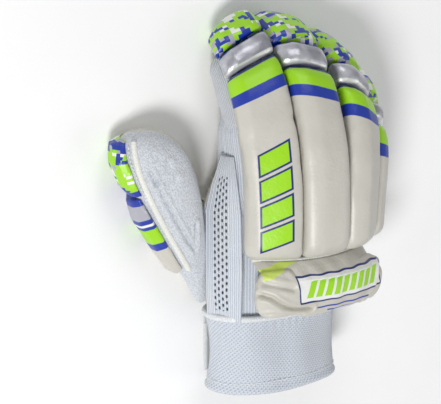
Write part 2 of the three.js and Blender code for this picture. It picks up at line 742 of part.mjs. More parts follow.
// The guard along the outside of the thumb, thickest along its middle. Its
// sides are counted in the thumb's own sides from the outer edge.
const THUMB_GUARD = { rows: [0.3, 0.34, 0.48, 0.62, 0.7], sides: [-3, -2, -1, 0, 1] };
const THUMB_TIP = { rows: [0.705, 0.75, 0.86, 0.95, 0.985], sides: [-3, -2, -1, 0, 1, 2] };

function thumbGuard({ rows, sides }) {
  const at = (row, side, rise) => thumbPoint(row, 2 * Math.PI * side / THUMB_SIDES, rise);
  const thickness = (u, v) => {
    const dome = 0.35 + 0.65 * Math.sin(Math.PI * v);
    const ends = u === 0 || u === 1 ? 0.6 : 1;
    return GUARD_THICK * dome * ends;
  };
  return plate(at, rows, sides, thickness);
}

// The strap around the palm side of the wristband and the hook patch beyond
// its round end. Their rows are counted in the wristband's sides.
const STRAP = { rows: [18, 19, 20, 21, 22, 23, 24, 25, 26, 26.5, 27], round: 2 };
const STRAP_PATCH = { rows: [27.25, 27.5, 28, 28.5, 29, 29.5], round: 0.6 };

function strapPiece({ rows, round }, thick) {
  const end = rows.at(-1);
  const at = (row, share, rise) => {
    const near = Math.max(0, (row - end + round) / round);
    const half = STRAP_WIDTH / 2 * Math.sqrt(1 - 0.9 * near ** 2);
    const p = cuffPoint(2 * Math.PI * row / CUFF_SIDES, rise);
    return new THREE.Vector3(p.x, CUFF_LENGTH / 2 + share * half, p.z);
  };
  return plate(at, rows, [-1, 0, 1], () => thick);
}

// Leather reinforcements on the palm side, counted in the sides of the hand
// and of the finger stall
const PALM_PATCH = { rows: [0.34, 0.52, 0.68], sides: [20, 21, 22, 23, 24, 25, 26] };
const INDEX_PATCHES = [
  { name: 'index_patch', rows: [0.47, 0.62, 0.76] },
  { name: 'index_patch_low', rows: [0.3, 0.44] },
];
const INDEX_PATCH_SIDES = [9, 10, 11, 12];

function palmPatch() {
  return plate(handPoint, PALM_PATCH.rows, PALM_PATCH.sides, () => LEATHER);
}

function fingerPatch(line, rows) {
  const at = (row, side, rise) => stallPoint(line, row, 2 * Math.PI * side / STALL_SIDES, rise);
  return plate(at, rows, INDEX_PATCH_SIDES, () => LEATHER);
}

function addFinger(line) {
  const { finger } = line;
  const rollEnd = finger.roll;
  const knuckleEnd = rollEnd + KNUCKLE_SHARE;
  const seam = SEAM_GAP / finger.length;
  const pad = (from, to, sections) => loft(padRings(line, from, to, sections));
  add(`${finger.name}_roll`, pad(0, rollEnd - seam, ROLL_SECTIONS), IVORY, 0.55);
  add(`${finger.name}_knuckle`, pad(rollEnd + seam, knuckleEnd - seam, KNUCKLE_SECTIONS), SILVER, 0.35, 0.3);
  add(`${finger.name}_tip`, pad(knuckleEnd + seam, 1, TIP_SECTIONS), LIME, 0.45);
  add(`${finger.name}_stall`, fingerStall(line), LEATHER_COLOUR, 0.8);
}

const lines = FINGERS.map((finger) => ({ finger, frames: fingerLine(finger) }));
add('hand_body', handBody(lines), WHITE, 0.9);
lines.forEach(addFinger);
add('thumb_stall', thumbStall(), WHITE, 0.9);
add('thumb_guard', thumbGuard(THUMB_GUARD), IVORY, 0.55);
add('thumb_tip', thumbGuard(THUMB_TIP), LIME, 0.45);
add('mesh_gusset', meshGusset(), WHITE, 0.9);
add('wrist_roll', wristRoll(), IVORY, 0.55);
add('roll_welt', rollWelt(), IVORY, 0.6);
add('wristband', wristband(), WHITE, 0.9);
add('wrist_strap', strapPiece(STRAP, STRAP_THICK), WHITE, 0.85);
add('strap_patch', strapPiece(STRAP_PATCH, PATCH_THICK), BLACK, 0.95);
add('palm_patch', palmPatch(), LEATHER_COLOUR, 0.8);
INDEX_PATCHES.forEach((patch) => {
  add(patch.name, fingerPatch(lines[0], patch.rows), LEATHER_COLOUR, 0.8);
});

// The origin is under the middle of the whole glove
const box = new THREE.Box3().setFromObject(pieces, true);
pieces.position.set(-(box.min.x + box.max.x) / 2, -(box.min.y + box.max.y) / 2, -box.min.z);

export default glove;
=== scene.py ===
import math
import bpy
import numpy as np
from mathutils import Matrix, Vector, noise


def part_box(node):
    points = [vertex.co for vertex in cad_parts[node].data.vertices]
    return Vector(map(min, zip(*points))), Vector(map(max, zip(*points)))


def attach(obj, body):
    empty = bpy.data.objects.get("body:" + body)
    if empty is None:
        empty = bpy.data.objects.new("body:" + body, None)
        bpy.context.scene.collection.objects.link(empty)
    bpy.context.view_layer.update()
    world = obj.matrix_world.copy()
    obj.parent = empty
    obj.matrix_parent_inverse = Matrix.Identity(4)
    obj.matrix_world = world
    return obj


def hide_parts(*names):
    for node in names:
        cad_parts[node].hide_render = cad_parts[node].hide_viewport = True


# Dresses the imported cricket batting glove: padded rolls, knitted cloth,
# leather, piping and stitches. Lengths are in metres, the glove lies palm down
# on Z = 0, +Y runs to the fingertips and the thumb is on the -X side.
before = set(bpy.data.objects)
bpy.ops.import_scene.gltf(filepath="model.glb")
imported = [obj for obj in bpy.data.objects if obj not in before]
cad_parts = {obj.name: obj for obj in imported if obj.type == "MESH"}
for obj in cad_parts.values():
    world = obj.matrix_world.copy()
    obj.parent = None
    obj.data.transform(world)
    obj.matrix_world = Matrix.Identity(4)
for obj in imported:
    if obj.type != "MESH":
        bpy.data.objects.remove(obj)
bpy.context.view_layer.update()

MM = 0.001
DEGREE = math.pi / 180

# Sizes of the model, repeated from its source, in millimetres and degrees
ARCH_RADIUS = 70
ARCH_CENTRE_Z = 7
ROLL_THICK = 16
CUFF_LENGTH = 46
CUFF_HALF_WIDTH = 44
CUFF_HEIGHT = 48
CUFF_CENTRE_X = -12
CUFF_SQUARENESS = 2.3
CUFF_FLATTENED = 2
STRAP_SPACE = 2.3
ROLL_START_Y = 86.6
ROLL_MID_RADIUS = ARCH_RADIUS - ROLL_THICK / 2
HAND_HALF_WIDTH = 56
THUMB_LENGTH = 122
THUMB_REACH = 64
THUMB_THICK = 32
TWIST_RELAX = 0.3
KNUCKLE_SHARE = 0.1

FINGERS = {
    "index": dict(start=-50, end=-17.5, length=158, curl=0.69, splay=-1.5, tilt=0, roll=0.76,
                  slant=0.2, ridge=-8.5),
    "middle": dict(start=-17.5, end=12, length=168, curl=0.88, splay=0, tilt=0, roll=0.69,
                   slant=-0.3, ridge=-3.5),
    "ring": dict(start=12, end=39.5, length=150, curl=0.93, splay=10, tilt=14, roll=0.64,
                 slant=-0.35, ridge=-2.5),
    "little": dict(start=39.5, end=63, length=118, curl=0.82, splay=14, tilt=18, roll=0.58,
                   slant=-0.25, ridge=-1.5),
}
# How far a finger has turned down at shares of its length, in degrees
BEND = ((0, 0.15, 0.3, 0.45, 0.6, 0.7, 0.8, 0.9, 1), (0, 0, 7, 16, 27, 41, 60, 74, 84))
LINE_STEPS = 80
# Stands for a band or a pad with nothing past it
OPEN_END = 999

# The rows of the thumb: at, outReach, outAlong, inReach, inAlong, thick, lift
THUMB_ROWS = np.array((
    (0.0, -0.07, 0.06, -0.07, 0.56, 0.5, 0.09),
    (0.08, 0.02, 0.04, 0.02, 0.6, 0.57, 0.06),
    (0.2, 0.12, 0.16, 0.05, 0.63, 0.71, 0.04),
    (0.34, 0.32, 0.3, 0.08, 0.665, 0.85, 0.05),
    (0.48, 0.5, 0.435, 0.12, 0.715, 0.94, 0.06),
    (0.62, 0.68, 0.58, 0.17, 0.78, 1.0, 0.06),
    (0.75, 0.845, 0.73, 0.23, 0.85, 0.98, 0.06),
    (0.86, 0.94, 0.865, 0.31, 0.915, 0.9, 0.08),
    (0.95, 0.92, 0.95, 0.42, 0.965, 0.72, 0.1),
    (1.0, 0.82, 0.985, 0.56, 0.995, 0.42, 0.22),
))

# The model's source measures from the middle of the wrist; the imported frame
# has its origin under the middle of the whole glove.
cuff_low, cuff_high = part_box("wristband")
SHIFT = Vector(((cuff_low[0] + cuff_high[0]) / 2 / MM - CUFF_CENTRE_X, cuff_low[1] / MM, 0))


def place(x, y, z):
    """A point of the model's source, in millimetres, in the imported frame."""
    return (Vector((x, y, z)) + SHIFT) * MM


def smooth(low, high, value):
    t = np.clip((value - low) / (high - low), 0, 1)
    return t * t * (3 - 2 * t)


def finger_line(finger):
    """The places and axes along the middle of a finger's padding, in millimetres."""
    angle = (finger["start"] + finger["end"]) / 2
    at = Vector((ROLL_MID_RADIUS * math.sin(angle * DEGREE), ROLL_START_Y,
                 ARCH_CENTRE_Z + ROLL_MID_RADIUS * math.cos(angle * DEGREE)))
    tilt = finger["tilt"] * DEGREE
    line = []
    for i in range(LINE_STEPS + 1):
        share = i / LINE_STEPS
        pitch = np.interp(share, *BEND) * finger["curl"] * DEGREE
        lean = finger["splay"] * smooth(0.05, 0.35, share) * DEGREE
        twist = angle * (1 - TWIST_RELAX * smooth(0.2, 0.65, share)) * DEGREE
        forward = Vector((math.sin(lean), math.cos(lean), 0))
        down = Vector((-math.sin(tilt), 0, -math.cos(tilt)))
        down = (down - forward * down.dot(forward)).normalized()
        along = forward * math.cos(pitch) + down * math.sin(pitch)
        upright = forward * math.sin(pitch) - down * math.cos(pitch)
        rise = Matrix.Rotation(-tilt * math.cos(pitch), 3, along) @ upright
        across = along.cross(rise)
        normal = rise * math.cos(twist) + across * math.sin(twist)
        side = across * math.cos(twist) - rise * math.sin(twist)
        line.append((at + SHIFT, along, side, normal))
        at = at + along * (finger["length"] / LINE_STEPS)
    return line


LINES = {name: finger_line(finger) for name, finger in FINGERS.items()}
LINE_AXES = {name: np.array([list(row[1:]) for row in line]) for name, line in LINES.items()}


def finger_coordinates(points, name):
    """How far each point is along, across and above a finger's middle line, in
    millimetres, as an array of three columns."""
    places = np.array([row[0] for row in LINES[name]])
    axes = LINE_AXES[name]
    step = FINGERS[name]["length"] / LINE_STEPS
    offset = points[:, None, :] / MM - places[None, :, :]
    ahead = np.einsum("pij,ij->pi", offset, axes[:, 0])
    cost = np.abs(ahead) + 0.15 * np.linalg.norm(offset, axis=2)
    best = cost.argmin(axis=1)
    chosen = offset[np.arange(len(points)), best]
    local = np.einsum("pj,pkj->pk", chosen, axes[best])
    local[:, 0] += best * step
    return local


def axes_beside(name, local):
    """The finger's three axes beside each point of its own coordinates."""
    share = local[:, 0] / FINGERS[name]["length"]
    return LINE_AXES[name][np.clip((share * LINE_STEPS).round().astype(int), 0, LINE_STEPS)]


def finger_point(name, along, across, up):
    """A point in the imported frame, given in a finger's own coordinates."""
    exact = min(max(along / FINGERS[name]["length"], 0), 0.9999) * LINE_STEPS
    i = int(exact)
    share = exact - i
    here, there = LINES[name][i], LINES[name][i + 1]
    at, _, side, normal = (here[k].lerp(there[k], share) for k in range(4))
    return (at + side.normalized() * across + normal.normalized() * up) * MM


# Meshes

def new_object(name, vertices, faces):
    mesh = bpy.data.meshes.new(name)
    mesh.from_pydata([tuple(v) for v in vertices], [], faces)
    mesh.update()
    obj = bpy.data.objects.new(name, mesh)
    bpy.context.scene.collection.objects.link(obj)
    return obj


def copy_node(node, name):
    """A piece that starts as a copy of a node's mesh and stands for the node."""
    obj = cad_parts[node].copy()
    obj.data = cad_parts[node].data.copy()
    obj.data.materials.clear()
    obj.parent = None
    obj.matrix_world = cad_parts[node].matrix_world.copy()
    obj.name = obj.data.name = name
    for key in list(obj.keys()):
        del obj[key]
    bpy.context.scene.collection.objects.link(obj)
    obj.hide_render = obj.hide_viewport = False
    return obj


def own(obj, material, *nodes, slot=None):
    """Gives a piece its material. It rides on the glove and stands for nodes."""
    obj.data.materials.clear()
    obj.data.materials.append(material)
    shade_smooth(obj)
    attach(obj, "root")
    if nodes:
        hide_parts(*nodes)


def apply_modifiers(obj):
    graph = bpy.context.evaluated_depsgraph_get()
    mesh = bpy.data.meshes.new_from_object(obj.evaluated_get(graph))
    obj.modifiers.clear()
    old = obj.data
    obj.data = mesh
    mesh.name = obj.name
    bpy.data.meshes.remove(old)


def remesh(obj, voxel, smoothing):
    modifier = obj.modifiers.new("remesh", "REMESH")
    modifier.mode = "VOXEL"
    modifier.voxel_size = voxel * MM
    soften = obj.modifiers.new("soften", "SMOOTH")
    soften.factor = 0.5
    soften.iterations = smoothing
    apply_modifiers(obj)


def subdivide(obj, levels):
    modifier = obj.modifiers.new("subdivide", "SUBSURF")
    modifier.levels = modifier.render_levels = levels
    apply_modifiers(obj)


def thicken(obj, thickness, offset):
    """Gives a sheet a wall in millimetres: offset 1 grows it along the normals,
    -1 against them and 0 half each way."""
    wall = obj.modifiers.new("wall", "SOLIDIFY")
    wall.thickness = thickness * MM
    wall.offset = offset
    apply_modifiers(obj)


def grid_faces(rows, columns, is_open=None):
    """The faces of a sheet of points listed row after row, with none where
    is_open says so."""
    step = columns + 1
    starts = [i * step + k for i in range(rows) for k in range(columns) if not (is_open and is_open(i, k))]
    return [(a, a + 1, a + step + 1, a + step) for a in starts]


def ring_faces(rings, sides, base=0):
    """The faces of a tube of points listed ring after ring, from number base."""
    faces = []
    for i in range(rings):
        low, high = base + i * sides, base + (i + 1) * sides
        for k in range(sides):
            after = (k + 1) % sides
            faces.append((low + k, low + after, high + after, high + k))
    return faces


def vectors_of(items, key):
    """One vector of each vertex or face, as an array of three columns."""
    flat = np.empty(len(items) * 3)
    items.foreach_get(key, flat)
    return flat.reshape(-1, 3)


def points_of(obj):
    return vectors_of(obj.data.vertices, "co")


def normals_of(obj):
    return vectors_of(obj.data.vertices, "normal")


def move_points(obj, points):
    obj.data.vertices.foreach_set("co", points.ravel())
    obj.data.update()


def shade_smooth(obj):
    obj.data.polygons.foreach_set("use_smooth", [True] * len(obj.data.polygons))


def store(obj, **layers):
    """Keeps named numbers for each vertex, for the materials."""
    for name, values in layers.items():
        layer = obj.data.attributes.new(name, "FLOAT", "POINT")
        layer.data.foreach_set("value", np.asarray(values, dtype=np.float32))


def grain_noise(points, size, seed):
    """Smooth noise from about -1 to 1 at each point; size is in millimetres."""
    offset = Vector((seed * 17.3, seed * 5.1, seed * 9.7))
    return np.array([noise.noise(Vector(p) / (size * MM) + offset) for p in points])


def crease(obj, path, depth, width, pinch):
    """Presses a valley into the top of a piece below a path, in millimetres.
    pinch raises soft banks on both sides of it."""
    here = points_of(obj)
    normals = normals_of(obj)
    points = here.copy()
    path = np.array([tuple(p) for p in path])
    points[:, 2] = path[:, 2] = 0
    nearest = np.full(len(points), np.inf)
    for a, b in zip(path[:-1], path[1:]):
        run = b - a
        share = np.clip((points - a) @ run / (run @ run), 0, 1)
        nearest = np.minimum(nearest, np.linalg.norm(points - a - share[:, None] * run, axis=1))
    reach = nearest / (width * MM)
    bank_place = 2.2
    dent = -depth * np.exp(-reach ** 2) + pinch * np.exp(-(reach - bank_place) ** 2)
    dent *= smooth(-0.1, 0.3, normals[:, 2])
    move_points(obj, here + normals * (dent * MM)[:, None])


def crease_all(obj, point, table):
    """Presses each row of a table: its depth, width, pinch and path."""
    for depth, width, pinch, places in table:
        crease(obj, [point(*at) for at in places], depth, width, pinch)


def tube(name, path, radius, cyclic=False):
    """A cord or piping of that radius in millimetres along a path, as a mesh."""
    curve = bpy.data.curves.new(name, "CURVE")
    curve.dimensions = "3D"
    spline = curve.splines.new("NURBS")
    spline.points.add(len(path) - 1)
    for point, at in zip(spline.points, path):
        point.co = (*at, 1)
    spline.use_endpoint_u = True
    spline.use_cyclic_u = cyclic
    spline.order_u = 4
    spline.resolution_u = 6
    curve.bevel_depth = radius * MM
    curve.bevel_resolution = 2
    curve.use_fill_caps = True
    holder = bpy.data.objects.new(name, curve)
    bpy.context.scene.collection.objects.link(holder)
    graph = bpy.context.evaluated_depsgraph_get()
    mesh = bpy.data.meshes.new_from_object(holder.evaluated_get(graph))
    bpy.data.objects.remove(holder)
    obj = bpy.data.objects.new(name, mesh)
    bpy.context.scene.collection.objects.link(obj)
    shade_smooth(obj)
    return obj


THREAD_RADIUS = 0.28
THREAD_SIDES = 6
# How thick a stitch is at shares of its length
THREAD_RINGS = ((0, 0.35), (0.2, 0.95), (0.5, 1.1), (0.8, 0.95), (1, 0.35))


def stitches(name, path, length=2.2, gap=1.3):
    """A row of short raised threads along a path of points, as one mesh."""
    path = [Vector(p) for p in path]
    runs = np.concatenate(([0], np.cumsum([(b - a).length for a, b in zip(path[:-1], path[1:])]))) / MM
    axes = [np.array([p[k] for p in path]) for k in range(3)]

    def at(run):
        return Vector([np.interp(run, runs, axis) for axis in axes])

    vertices, faces = [], []
    start = gap
    while start + length < runs[-1]:
        first, last = at(start), at(start + length)
        forward = (last - first).normalized()
        side = forward.orthogonal().normalized()
        other = forward.cross(side)
        base = len(vertices)
        for share, thick in THREAD_RINGS:
            for k in range(THREAD_SIDES):
                turn = 2 * math.pi * k / THREAD_SIDES
                vertices.append(first.lerp(last, share) + (side * math.cos(turn) + other * math.sin(turn))
                                * THREAD_RADIUS * thick * MM)
        faces += ring_faces(len(THREAD_RINGS) - 1, THREAD_SIDES, base)
        faces.append(tuple(reversed(range(base, base + THREAD_SIDES))))
        faces.append(tuple(range(len(vertices) - THREAD_SIDES, len(vertices))))
        start += length + gap
    obj = new_object(name, vertices, faces)
    shade_smooth(obj)
    return obj


# Padded pieces

LAST_FRAME = 20


class Pads:
    """Padded pieces that are blown up together in one cloth simulation."""

    def __init__(self):
        self.jobs = []

    def add(self, node, name, voxel, shrink, cap, smoothing):
        obj = copy_node(node, name)
        remesh(obj, voxel, smoothing)
        move_points(obj, points_of(obj) - normals_of(obj) * shrink * MM)
        self.jobs.append((obj, cap))
        return obj

    def settle(self):
        scene = bpy.context.scene
        start = {obj: points_of(obj) for obj, _ in self.jobs}
        for obj in start:
            cloth = obj.modifiers.new("cloth", "CLOTH")
            settings = cloth.settings
            settings.quality = 6
            settings.mass = 0.3
            settings.tension_stiffness = settings.compression_stiffness = 12
            settings.shear_stiffness = 6
            settings.bending_stiffness = 1.5
            settings.use_pressure = True
            settings.uniform_pressure_force = 4
            settings.effector_weights.gravity = 0
            cloth.collision_settings.use_collision = False
            cloth.collision_settings.use_self_collision = False
            cloth.point_cache.frame_start = 1
            cloth.point_cache.frame_end = LAST_FRAME
        for step in range(1, LAST_FRAME + 1):
            scene.frame_set(step)
        graph = bpy.context.evaluated_depsgraph_get()
        blown = {}
        for obj in start:
            mesh = obj.evaluated_get(graph).to_mesh()
            blown[obj] = vectors_of(mesh.vertices, "co")
            obj.evaluated_get(graph).to_mesh_clear()
        scene.frame_set(1)
        for obj, cap in self.jobs:
            obj.modifiers.clear()
            move = blown[obj] - start[obj]
            far = np.linalg.norm(move, axis=1)
            move *= np.minimum(1, cap * MM / np.maximum(far, 1e-9))[:, None]
            move_points(obj, start[obj] + move)


# Materials

def srgb(red, green, blue):
    """A colour read as 0 to 255, as the shader wants it."""
    channels = [((c / 255 + 0.055) / 1.055) ** 2.4 if c > 10 else c / 3294 for c in (red, green, blue)]
    return (*channels, 1)


IVORY = srgb(200, 197, 188)
LIME = srgb(156, 216, 18)
BLUE = srgb(24, 54, 160)
NAVY = srgb(24, 40, 110)
SILVER = srgb(170, 170, 180)
PALE = srgb(232, 233, 230)
KNIT_WHITE = srgb(216, 221, 229)
TOWEL_WHITE = srgb(219, 223, 230)
BEIGE = srgb(206, 202, 188)
BLACK = srgb(22, 22, 24)


class Paint:
    """A material with short calls for the nodes used here. Plain numbers go to
    the shader's own sockets."""

    def __init__(self, name, **values):
        self.material = bpy.data.materials.new(name)
        self.material.use_nodes = True
        tree = self.material.node_tree
        self.nodes, self.links = tree.nodes, tree.links
        self.shader = self.nodes["Principled BSDF"]
        for key, value in values.items():
            self.shader.inputs[key.replace("_", " ")].default_value = value
        self.coordinates = self.nodes.new("ShaderNodeTexCoord").outputs["Object"]

    def node(self, kind, inputs=(), **settings):
        node = self.nodes.new("ShaderNode" + kind)
        for key, value in settings.items():
            setattr(node, key, value)
        for key, value in dict(inputs).items():
            if isinstance(value, bpy.types.NodeSocket):
                self.links.new(value, node.inputs[key])
            elif value is not None:
                node.inputs[key].default_value = value
        return node

    def number(self, name):
        return self.node("Attribute", attribute_name=name).outputs["Fac"]

    def math(self, operation, a, b=None):
        return self.node("Math", {0: a, 1: b}, operation=operation).outputs[0]

    def vector(self, x, y, z):
        return self.node("CombineXYZ", {0: x, 1: y, 2: z}).outputs[0]

    def rise(self, value, low, high):
        """0 below low and 1 above high."""
        inputs = {"Value": value, "From Min": low, "From Max": high}
        return self.node("MapRange", inputs, interpolation_type="SMOOTHSTEP").outputs["Result"]

    def noise(self, size, detail, vector=None, distortion=0.0):
        """Noise whose blotches are about size millimetres wide."""
        inputs = {"Vector": vector or self.coordinates, "Scale": 1 / (size * MM), "Detail": detail,
                  "Distortion": distortion}
        return self.node("TexNoise", inputs).outputs["Fac"]

    def cells(self, size, feature="F1"):
        inputs = {"Vector": self.coordinates, "Scale": 1 / (size * MM)}
        return self.node("TexVoronoi", inputs, feature=feature).outputs["Distance"]

    def stretch(self, share):
        """The coordinates shortened along Y, which draws a texture out."""
        return self.node("Mapping", {"Vector": self.coordinates, "Scale": (1, share, 1)}).outputs[0]

    def mix(self, factor, a, b):
        return self.node("Mix", {0: factor, 6: a, 7: b}, data_type="RGBA").outputs[2]

    def add(self, *values):
        total = values[0]
        for value in values[1:]:
            total = self.math("ADD", total, value)
        return total

    def scaled(self, value, factor):
        return self.math("MULTIPLY", value, factor)

    def weighted(self, *pairs):
        """The sum of values, each times its weight."""
        return self.add(*(self.scaled(value, weight) for value, weight in pairs))

    def flipped(self, mask):
        return self.math("SUBTRACT", 1.0, mask)

    def both(self, *masks):
        """1 only where each of the masks is 1."""
        total = masks[0]
        for mask in masks[1:]:
            total = self.scaled(total, mask)
        return total

    def colour(self, value):
        self.links.new(value, self.shader.inputs["Base Color"])

    def relief(self, height, depth):
        """Bump whose height of 1 is depth millimetres."""
        inputs = {"Height": height, "Strength": 1.0, "Distance": depth * MM}
        self.links.new(self.node("Bump", inputs).outputs[0], self.shader.inputs["Normal"])

    def bands(self, value, colours):
        """Colours one after the other: each pair is where it ends, in the
        value's own millimetres, and the colour up to there."""
        soft = 0.25
        result = colours[-1][1]
        for end, colour in reversed(colours[:-1]):
            result = self.mix(self.rise(value, end - soft, end + soft), colour, result)
        return result


def dirt(paint, colour, amount, size=14.0):
    """Uneven tone of used cloth or leather, in soft blotches."""
    blotch = paint.rise(paint.noise(size, 4), 0.35, 0.75)
    darker = paint.node("HueSaturation", {"Color": colour, "Value": 0.86, "Saturation": 1.08}).outputs[0]
    return paint.mix(paint.scaled(blotch, amount), colour, darker)


LEATHER_GRAIN = 1.5


def leather_relief(paint, depth):
    """Fine grain with the few long soft wrinkles of a coated leather."""
    pebbles = paint.cells(LEATHER_GRAIN, feature="SMOOTH_F1")
    fine = paint.noise(LEATHER_GRAIN / 2, 3)
    wrinkles = paint.noise(9.0, 3, distortion=1.2)
    paint.relief(paint.weighted((pebbles, 0.5), (fine, 0.35), (wrinkles, 2.2)), depth)


BAR_SLANT = 0.35
# How softly a printed edge ends, in millimetres
PRINT_SOFT = 0.2


def bars(paint, u, v, period, half_u, half_v, outline):
    """A row of slanted bars as two masks, the bars with their outlines and the
    bars alone."""
    slanted = paint.add(u, paint.scaled(v, -BAR_SLANT))
    phase = paint.math("SUBTRACT", paint.math("FLOORED_MODULO", slanted, period), period / 2)
    inside = paint.math("MAXIMUM", paint.math("SUBTRACT", paint.math("ABSOLUTE", phase), half_u),
                        paint.math("SUBTRACT", paint.math("ABSOLUTE", v), half_v))
    return [paint.flipped(paint.rise(inside, edge - PRINT_SOFT, edge + PRINT_SOFT)) for edge in (outline, 0)]


def between(paint, value, low, high):
    return paint.both(paint.rise(value, low - PRINT_SOFT, low + PRINT_SOFT),
                      paint.flipped(paint.rise(value, high - PRINT_SOFT, high + PRINT_SOFT)))


def ivory_leather():
    """Coated ivory leather of the rolls with the printed bands near their ends
    and, where the attribute motif is 1, a row of plain slanted bars."""
    paint = Paint("ivory_leather", Roughness=0.42, Coat_Weight=0.25, Coat_Roughness=0.35,
                  Specular_IOR_Level=0.45)
    v = paint.add(paint.number("across"), -2.0)
    u = paint.add(paint.number("along"), -9.0)
    whole, fill = bars(paint, u, v, 15.5, 5.6, 9.0, 1.3)
    row = paint.add(u, paint.scaled(v, -BAR_SLANT))
    window = paint.both(between(paint, row, 0.0, 62.0), paint.number("motif"),
                        paint.rise(paint.number("up"), -2.0, 0.0))
    printed = paint.mix(paint.both(whole, window), dirt(paint, IVORY, 0.3), NAVY)
    printed = paint.mix(paint.both(fill, window), printed, LIME)
    bands = [(2.9, NAVY), (13.6, LIME), (20.4, BLUE), (OPEN_END, printed)]
    paint.colour(paint.bands(paint.number("edge"), bands))
    leather_relief(paint, 0.16)
    return paint.material


def silver_leather():
    paint = Paint("silver_leather", Roughness=0.36, Metallic=0.6, Coat_Weight=0.2, Coat_Roughness=0.3)
    foil = paint.mix(paint.rise(paint.noise(11.0, 2), 0.3, 0.7), srgb(160, 160, 170), srgb(206, 207, 214))
    paint.colour(paint.bands(paint.number("past"), [(2.6, PALE), (13.2, foil), (OPEN_END, BLUE)]))
    leather_relief(paint, 0.07)
    return paint.material


def camouflage(paint, vector):
    """Blocky blotches in lime, blue, white and silver."""
    block, spread = (1.9, 2.9, 2.9), (1.5, 0.8, 0.8)
    blocks = paint.node("VectorMath", {0: vector, 1: block}, operation="SNAP").outputs[0]
    stretched = paint.node("VectorMath", {0: blocks, 1: spread}, operation="MULTIPLY").outputs[0]
    field = paint.node("TexNoise", {"Vector": stretched, "Scale": 0.13, "Detail": 1.5}).outputs["Fac"]
    other = paint.node("TexNoise", {"Vector": stretched, "Scale": 0.16, "Detail": 1.0, "W": 3.0},
                       noise_dimensions="4D").outputs["Fac"]

    def above(value, level):
        return paint.rise(value, level, level + 0.002)

    colour = paint.mix(above(field, 0.55), LIME, BLUE)
    colour = paint.mix(above(other, 0.6), colour, SILVER)
    return paint.mix(above(other, 0.39), PALE, colour)


def finger_vector(paint, along):
    return paint.vector(paint.number(along), paint.number("across"), paint.number("up"))


def printed_leather():
    paint = Paint("printed_leather", Roughness=0.4, Coat_Weight=0.3, Coat_Roughness=0.3)
    paint.colour(camouflage(paint, finger_vector(paint, "along")))
    leather_relief(paint, 0.14)
    return paint.material


def guard_leather():
    """The strip along the thumb, with its bands counted from its lower end."""
    paint = Paint("guard_leather", Roughness=0.42, Coat_Weight=0.25, Coat_Roughness=0.35)
    camo = camouflage(paint, finger_vector(paint, "run"))
    stripes = [(21.5, dirt(paint, IVORY, 0.3)), (26.9, BLUE), (38.3, LIME), (40.8, BLUE), (42.6, PALE),
               (46, BLUE), (56, SILVER), (60.6, BLUE), (62.2, PALE), (66.7, BLUE), (OPEN_END, camo)]
    paint.colour(paint.bands(paint.number("run"), stripes))
    leather_relief(paint, 0.14)
    return paint.material


def wrist_leather():
    """The wrist roll: ivory, with a framed panel of plain slanted bars."""
    paint = Paint("wrist_leather", Roughness=0.44, Coat_Weight=0.25, Coat_Roughness=0.35)
    u = paint.number("along")
    v = paint.number("across")
    top = paint.rise(paint.number("up"), -2.0, 0.5)
    middle = paint.add(v, -3.2)
    wave = paint.scaled(paint.math("SINE", paint.scaled(u, 0.5)), 0.2)
    frame_v = paint.math("ABSOLUTE", paint.add(middle, wave))
    frame_u = paint.math("ABSOLUTE", paint.add(u, -9.0, paint.scaled(middle, 0.12)))
    inside = paint.math("MAXIMUM", paint.add(frame_v, -7.6), paint.add(frame_u, -33.0))
    panel = paint.both(paint.flipped(paint.rise(inside, 0.8, 1.1)), top)
    ground = paint.both(paint.flipped(paint.rise(inside, -0.2, 0.1)), top)
    _, fill = bars(paint, u, middle, 6.2, 2.2, 5.4, 1.0)
    row = paint.add(u, paint.scaled(middle, -BAR_SLANT))
    fill = paint.both(fill, between(paint, row, -18.6, 37.2), top)
    colour = paint.mix(panel, dirt(paint, IVORY, 0.32), NAVY)
    colour = paint.mix(ground, colour, PALE)
    colour = paint.mix(fill, colour, LIME)
    for low, first, last in ((-9.6, -12.0, 30.0), (-12.4, -4.0, 24.0)):
        stripe = paint.both(between(paint, paint.add(v, wave), low, low + 1.0),
                            between(paint, u, first, last), top)
        colour = paint.mix(stripe, colour, BLUE)
    slope = paint.add(v, -12.5, paint.scaled(paint.add(u, 41.0), -0.42))
    tab = paint.both(between(paint, slope, -2.0, 2.2), between(paint, u, -43.0, -17.0))
    colour = paint.mix(paint.scaled(tab, 0.8), colour, srgb(200, 226, 60))
    paint.colour(colour)
    leather_relief(paint, 0.2)
    return paint.material


def cloth(name, sheen=0.35, roughness=0.85):
    return Paint(name, Roughness=roughness, Sheen_Weight=sheen, Sheen_Roughness=0.5, Specular_IOR_Level=0.25)


def wobble(paint, size, amount):
    """A slow wave either way, in millimetres, that keeps threads uneven."""
    return paint.scaled(paint.add(paint.noise(size, 2), -0.5), amount)


def towelling():
    paint = cloth("towelling", 0.5, 0.92)
    loops = paint.cells(1.15)
    tufts = paint.noise(0.9, 4)
    soft = paint.noise(6.0, 3)
    # painted shade: the gaps between the loops, where the bump sinks, are greyer
    shade = paint.mix(paint.rise(loops, 0.2, 0.75), TOWEL_WHITE, srgb(196, 201, 208))
    paint.colour(dirt(paint, shade, 0.3, 20.0))
    paint.relief(paint.weighted((loops, -1.0), (tufts, 0.8), (soft, 1.2)), 0.5)
    return paint.material


def ribbed_knit(name, colour, valley_shade, period, depth):
    """Knitted ribs of that period in millimetres, crossed by rows of stitches.
    The attributes around and height give the cloth's own coordinates."""
    paint = cloth(name)
    across = paint.add(paint.number("around"), wobble(paint, 8.0, 0.6))
    rib = paint.math("SINE", paint.scaled(across, 2 * math.pi / period))
    rows = paint.weighted((paint.number("height"), 2 * math.pi / (period * 0.8)), (rib, 0.9))
    stitch = paint.math("SINE", rows)
    # painted shade: the valleys between the ribs get the darker second colour
    shade = paint.mix(paint.rise(rib, -0.9, 0.4), valley_shade, colour)
    paint.colour(dirt(paint, shade, 0.28, 18.0))
    paint.relief(paint.weighted((rib, 0.5), (stitch, 0.28), (paint.noise(0.5, 2), 0.4)), depth)
    return paint.material


